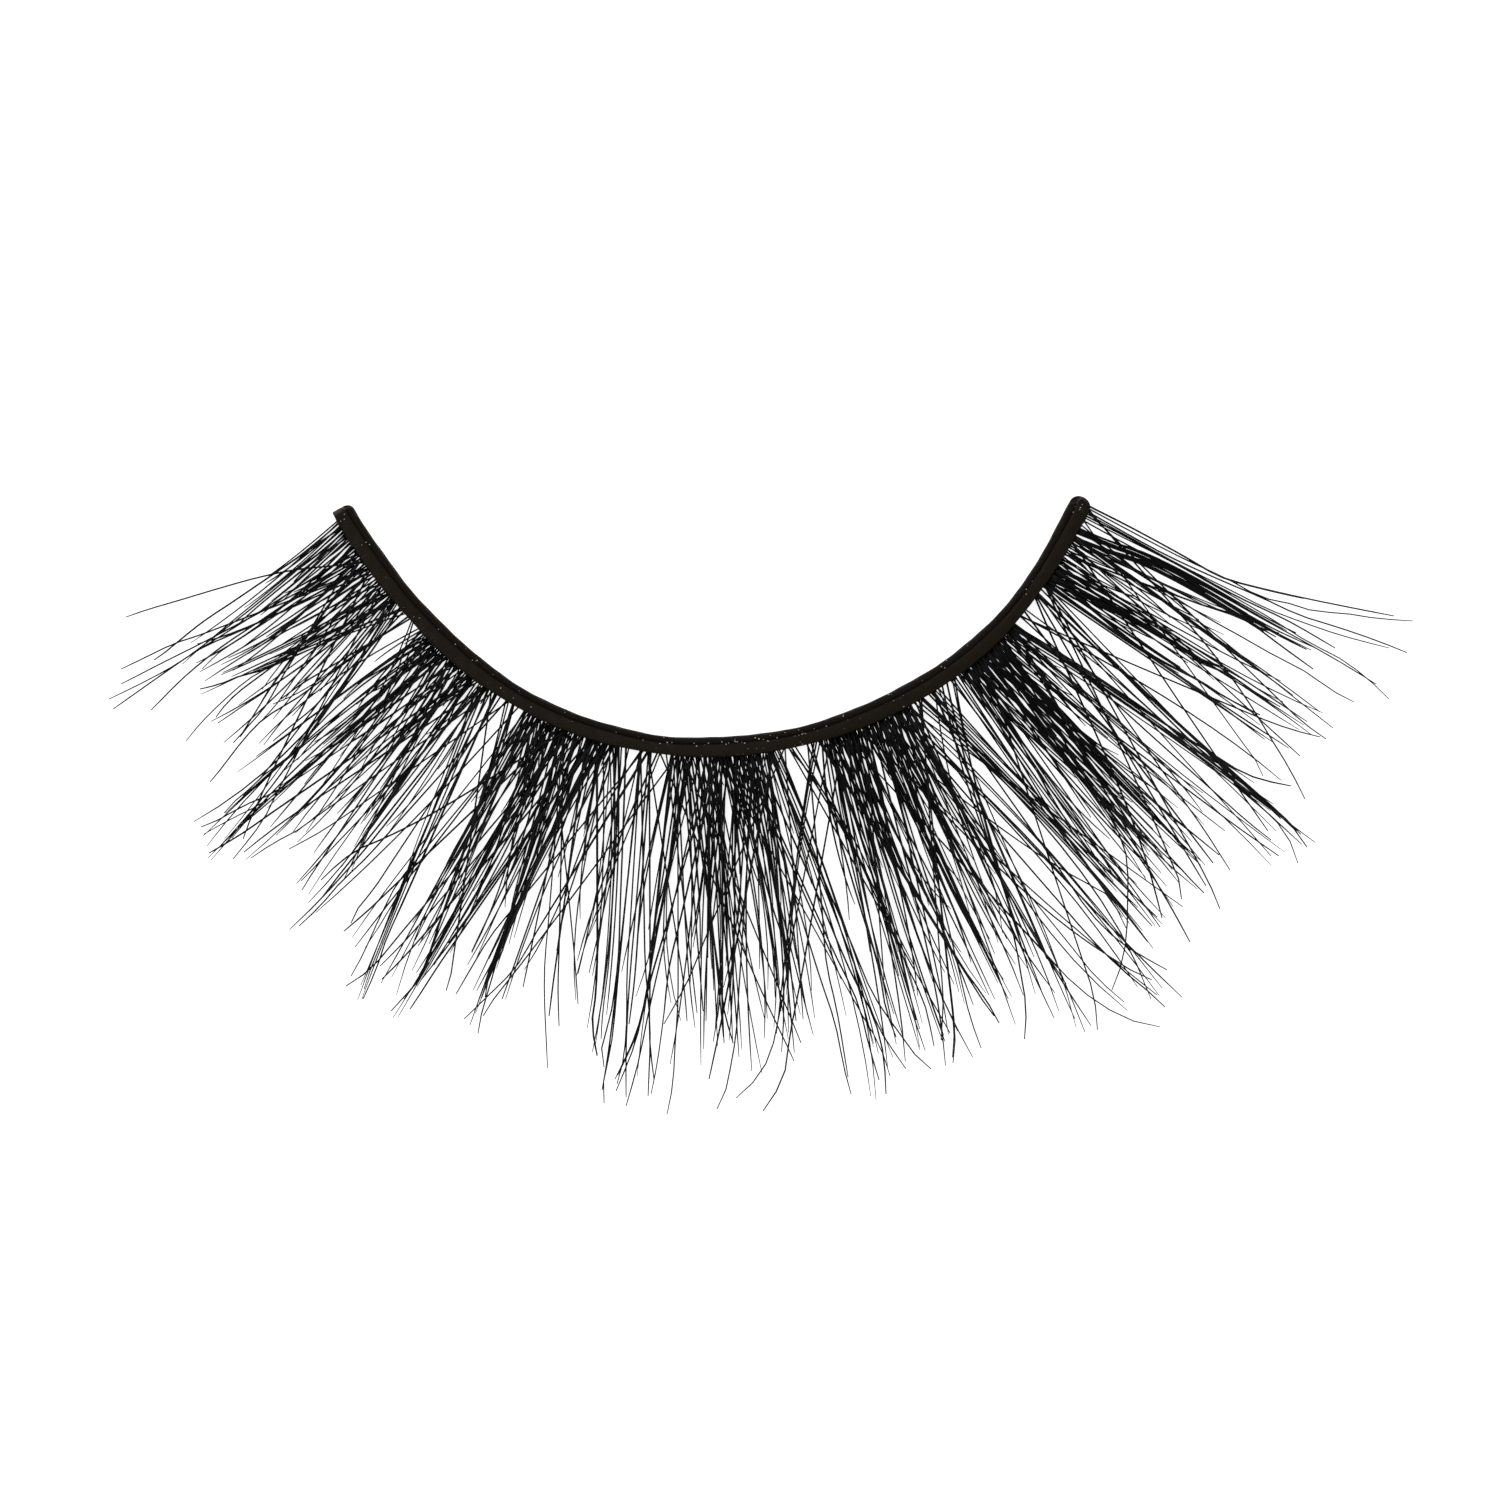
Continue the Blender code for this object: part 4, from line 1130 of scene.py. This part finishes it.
def makeStrays(shape):
    # The first hair of a strand runs to its end through its points. The others lie beside it, end a little sooner and
    # cross it slowly, because their place in the strand at the root and at the tip are drawn apart.
    random = np.random.default_rng(seeds["strays"])
    hairs = np.array([row[0] for row in shape["rows"]])
    owner = np.repeat(np.arange(len(hairs)), hairs)
    first = np.diff(owner, prepend=-1) > 0
    count = len(owner)
    along = np.linspace(0, 1, shape["sections"])
    length = np.where(first, 1.0, random.uniform(shape["shortest"], 1.0, count))
    ways = [strandPoints(row[2], shape) for row in shape["rows"]]
    flat = np.stack([smoothThrough(ways[row], share * along) for row, share in zip(owner, length)])
    spread = np.where(first, 0.0, 1.0) * np.array([row[1] for row in shape["rows"]])[owner]
    aside = spread * random.uniform(-0.5, 0.5, (2, count))
    aside = aside[0][:, None] * (1 - along) + aside[1][:, None] * along
    flow = np.gradient(flat, axis=1)
    flow = flow / np.linalg.norm(flow, axis=-1, keepdims=True)
    flat = flat + aside[..., None] * np.stack([-flow[..., 1], flow[..., 0]], axis=-1)
    lift = shape["height"] + shape["rootLift"] * random.uniform(0, 1, count)[:, None]
    height = riseOver(flat) + lift + shape["tipRise"] * along ** 2
    lines = np.concatenate([flat, height[..., None]], axis=-1)
    comb = {**ownDraws(np.zeros(count, bool), hair, random), "length": length}
    piece = hairMesh("strayLashes", lines, comb, {**hair, "tipShare": shape["tipShare"]})
    print("strays:", count, "hairs along", len(hairs), "lines")
    return seat(piece, materials["long"], "long_lash")


makeStrays(strays)

stage = {
    "floorSize": 1500.0,
    "floorTone": (0.93, 0.93, 0.93),
    "floorGlow": 0.84,         # a lit sweep: it keeps its white between the hairs
    "skyTone": (1.0, 1.0, 1.0),
    "skySeen": 1.0,
    "skyLight": 0.20,
}


def makeFloor(shape):
    half = shape["floorSize"] / 2
    corners = np.array([(-half, -half, 0.0), (half, -half, 0.0), (half, half, 0.0), (-half, half, 0.0)])
    floor = fillMesh("paleFloor", corners, [np.array([[0, 1, 2, 3]])], {})
    material, tree, shader = startMaterial("litSweep", {
        "Base Color": (*shape["floorTone"], 1.0), "Roughness": 0.9, "Specular IOR Level": 0.1,
        "Emission Color": (1.0, 1.0, 1.0, 1.0), "Emission Strength": shape["floorGlow"],
    })
    floor.data.materials.append(material)


def lightSky(shape):
    # The sky looks white and lights the strip only softly, so that the black stays deep.
    world = bpy.data.worlds.new("softSky")
    bpy.context.scene.world = world
    world.use_nodes = True
    tree = world.node_tree
    tree.nodes.clear()
    ray = addNode(tree, "ShaderNodeLightPath", (-400, 200))
    seen = addNode(tree, "ShaderNodeBackground", (-200, 0))
    lit = addNode(tree, "ShaderNodeBackground", (-200, -200))
    for node, strength in ((seen, shape["skySeen"]), (lit, shape["skyLight"])):
        node.inputs["Color"].default_value = (*shape["skyTone"], 1.0)
        node.inputs["Strength"].default_value = strength
    mix = addNode(tree, "ShaderNodeMixShader", (0, 0))
    out = addNode(tree, "ShaderNodeOutputWorld", (200, 0))
    joinUp(
        tree,
        (ray.outputs["Is Camera Ray"], mix.inputs["Fac"]),
        (lit.outputs["Background"], mix.inputs[1]),
        (seen.outputs["Background"], mix.inputs[2]),
        (mix.outputs["Shader"], out.inputs["Surface"]),
    )


lamps = {
    "columns": ("name", "place", "size", "watts"),
    "rows": (
        ("keyPanel", (-160.0, 120.0, 240.0), 160.0, 0.30),
        ("fillPanel", (200.0, -60.0, 200.0), 200.0, 0.12),
    ),
}


def hangLamps(rows):
    # Each panel looks at the strip's middle.
    for name, place, size, watts in rows:
        data = bpy.data.lights.new(name, "AREA")
        data.shape = "SQUARE"
        data.size = size * mm
        data.energy = watts
        lamp = bpy.data.objects.new(name, data)
        bpy.context.scene.collection.objects.link(lamp)
        lamp.location = np.array(place) * mm
        lamp.rotation_euler = (-lamp.location).to_track_quat("-Z", "Y").to_euler()


makeFloor(stage)
lightSky(stage)
hangLamps(lamps["rows"])


def setCamera(shape):
    # Straight above the strip, far enough for the frame to have its width at the lashes' height.
    data = bpy.data.cameras.new("topCamera")
    data.lens = shape["lens"]
    data.sensor_width = shape["sensor"]
    data.clip_start = 0.01
    data.clip_end = 10.0
    camera = bpy.data.objects.new("topCamera", data)
    bpy.context.scene.collection.objects.link(camera)
    camera.location = (shape["centre"][0] * mm, shape["centre"][1] * mm, cameraHeight * mm)
    bpy.context.scene.camera = camera


setCamera(view)
bpy.context.scene.view_settings.view_transform = "Standard"
print("stage: floor, sky, lamps and camera")
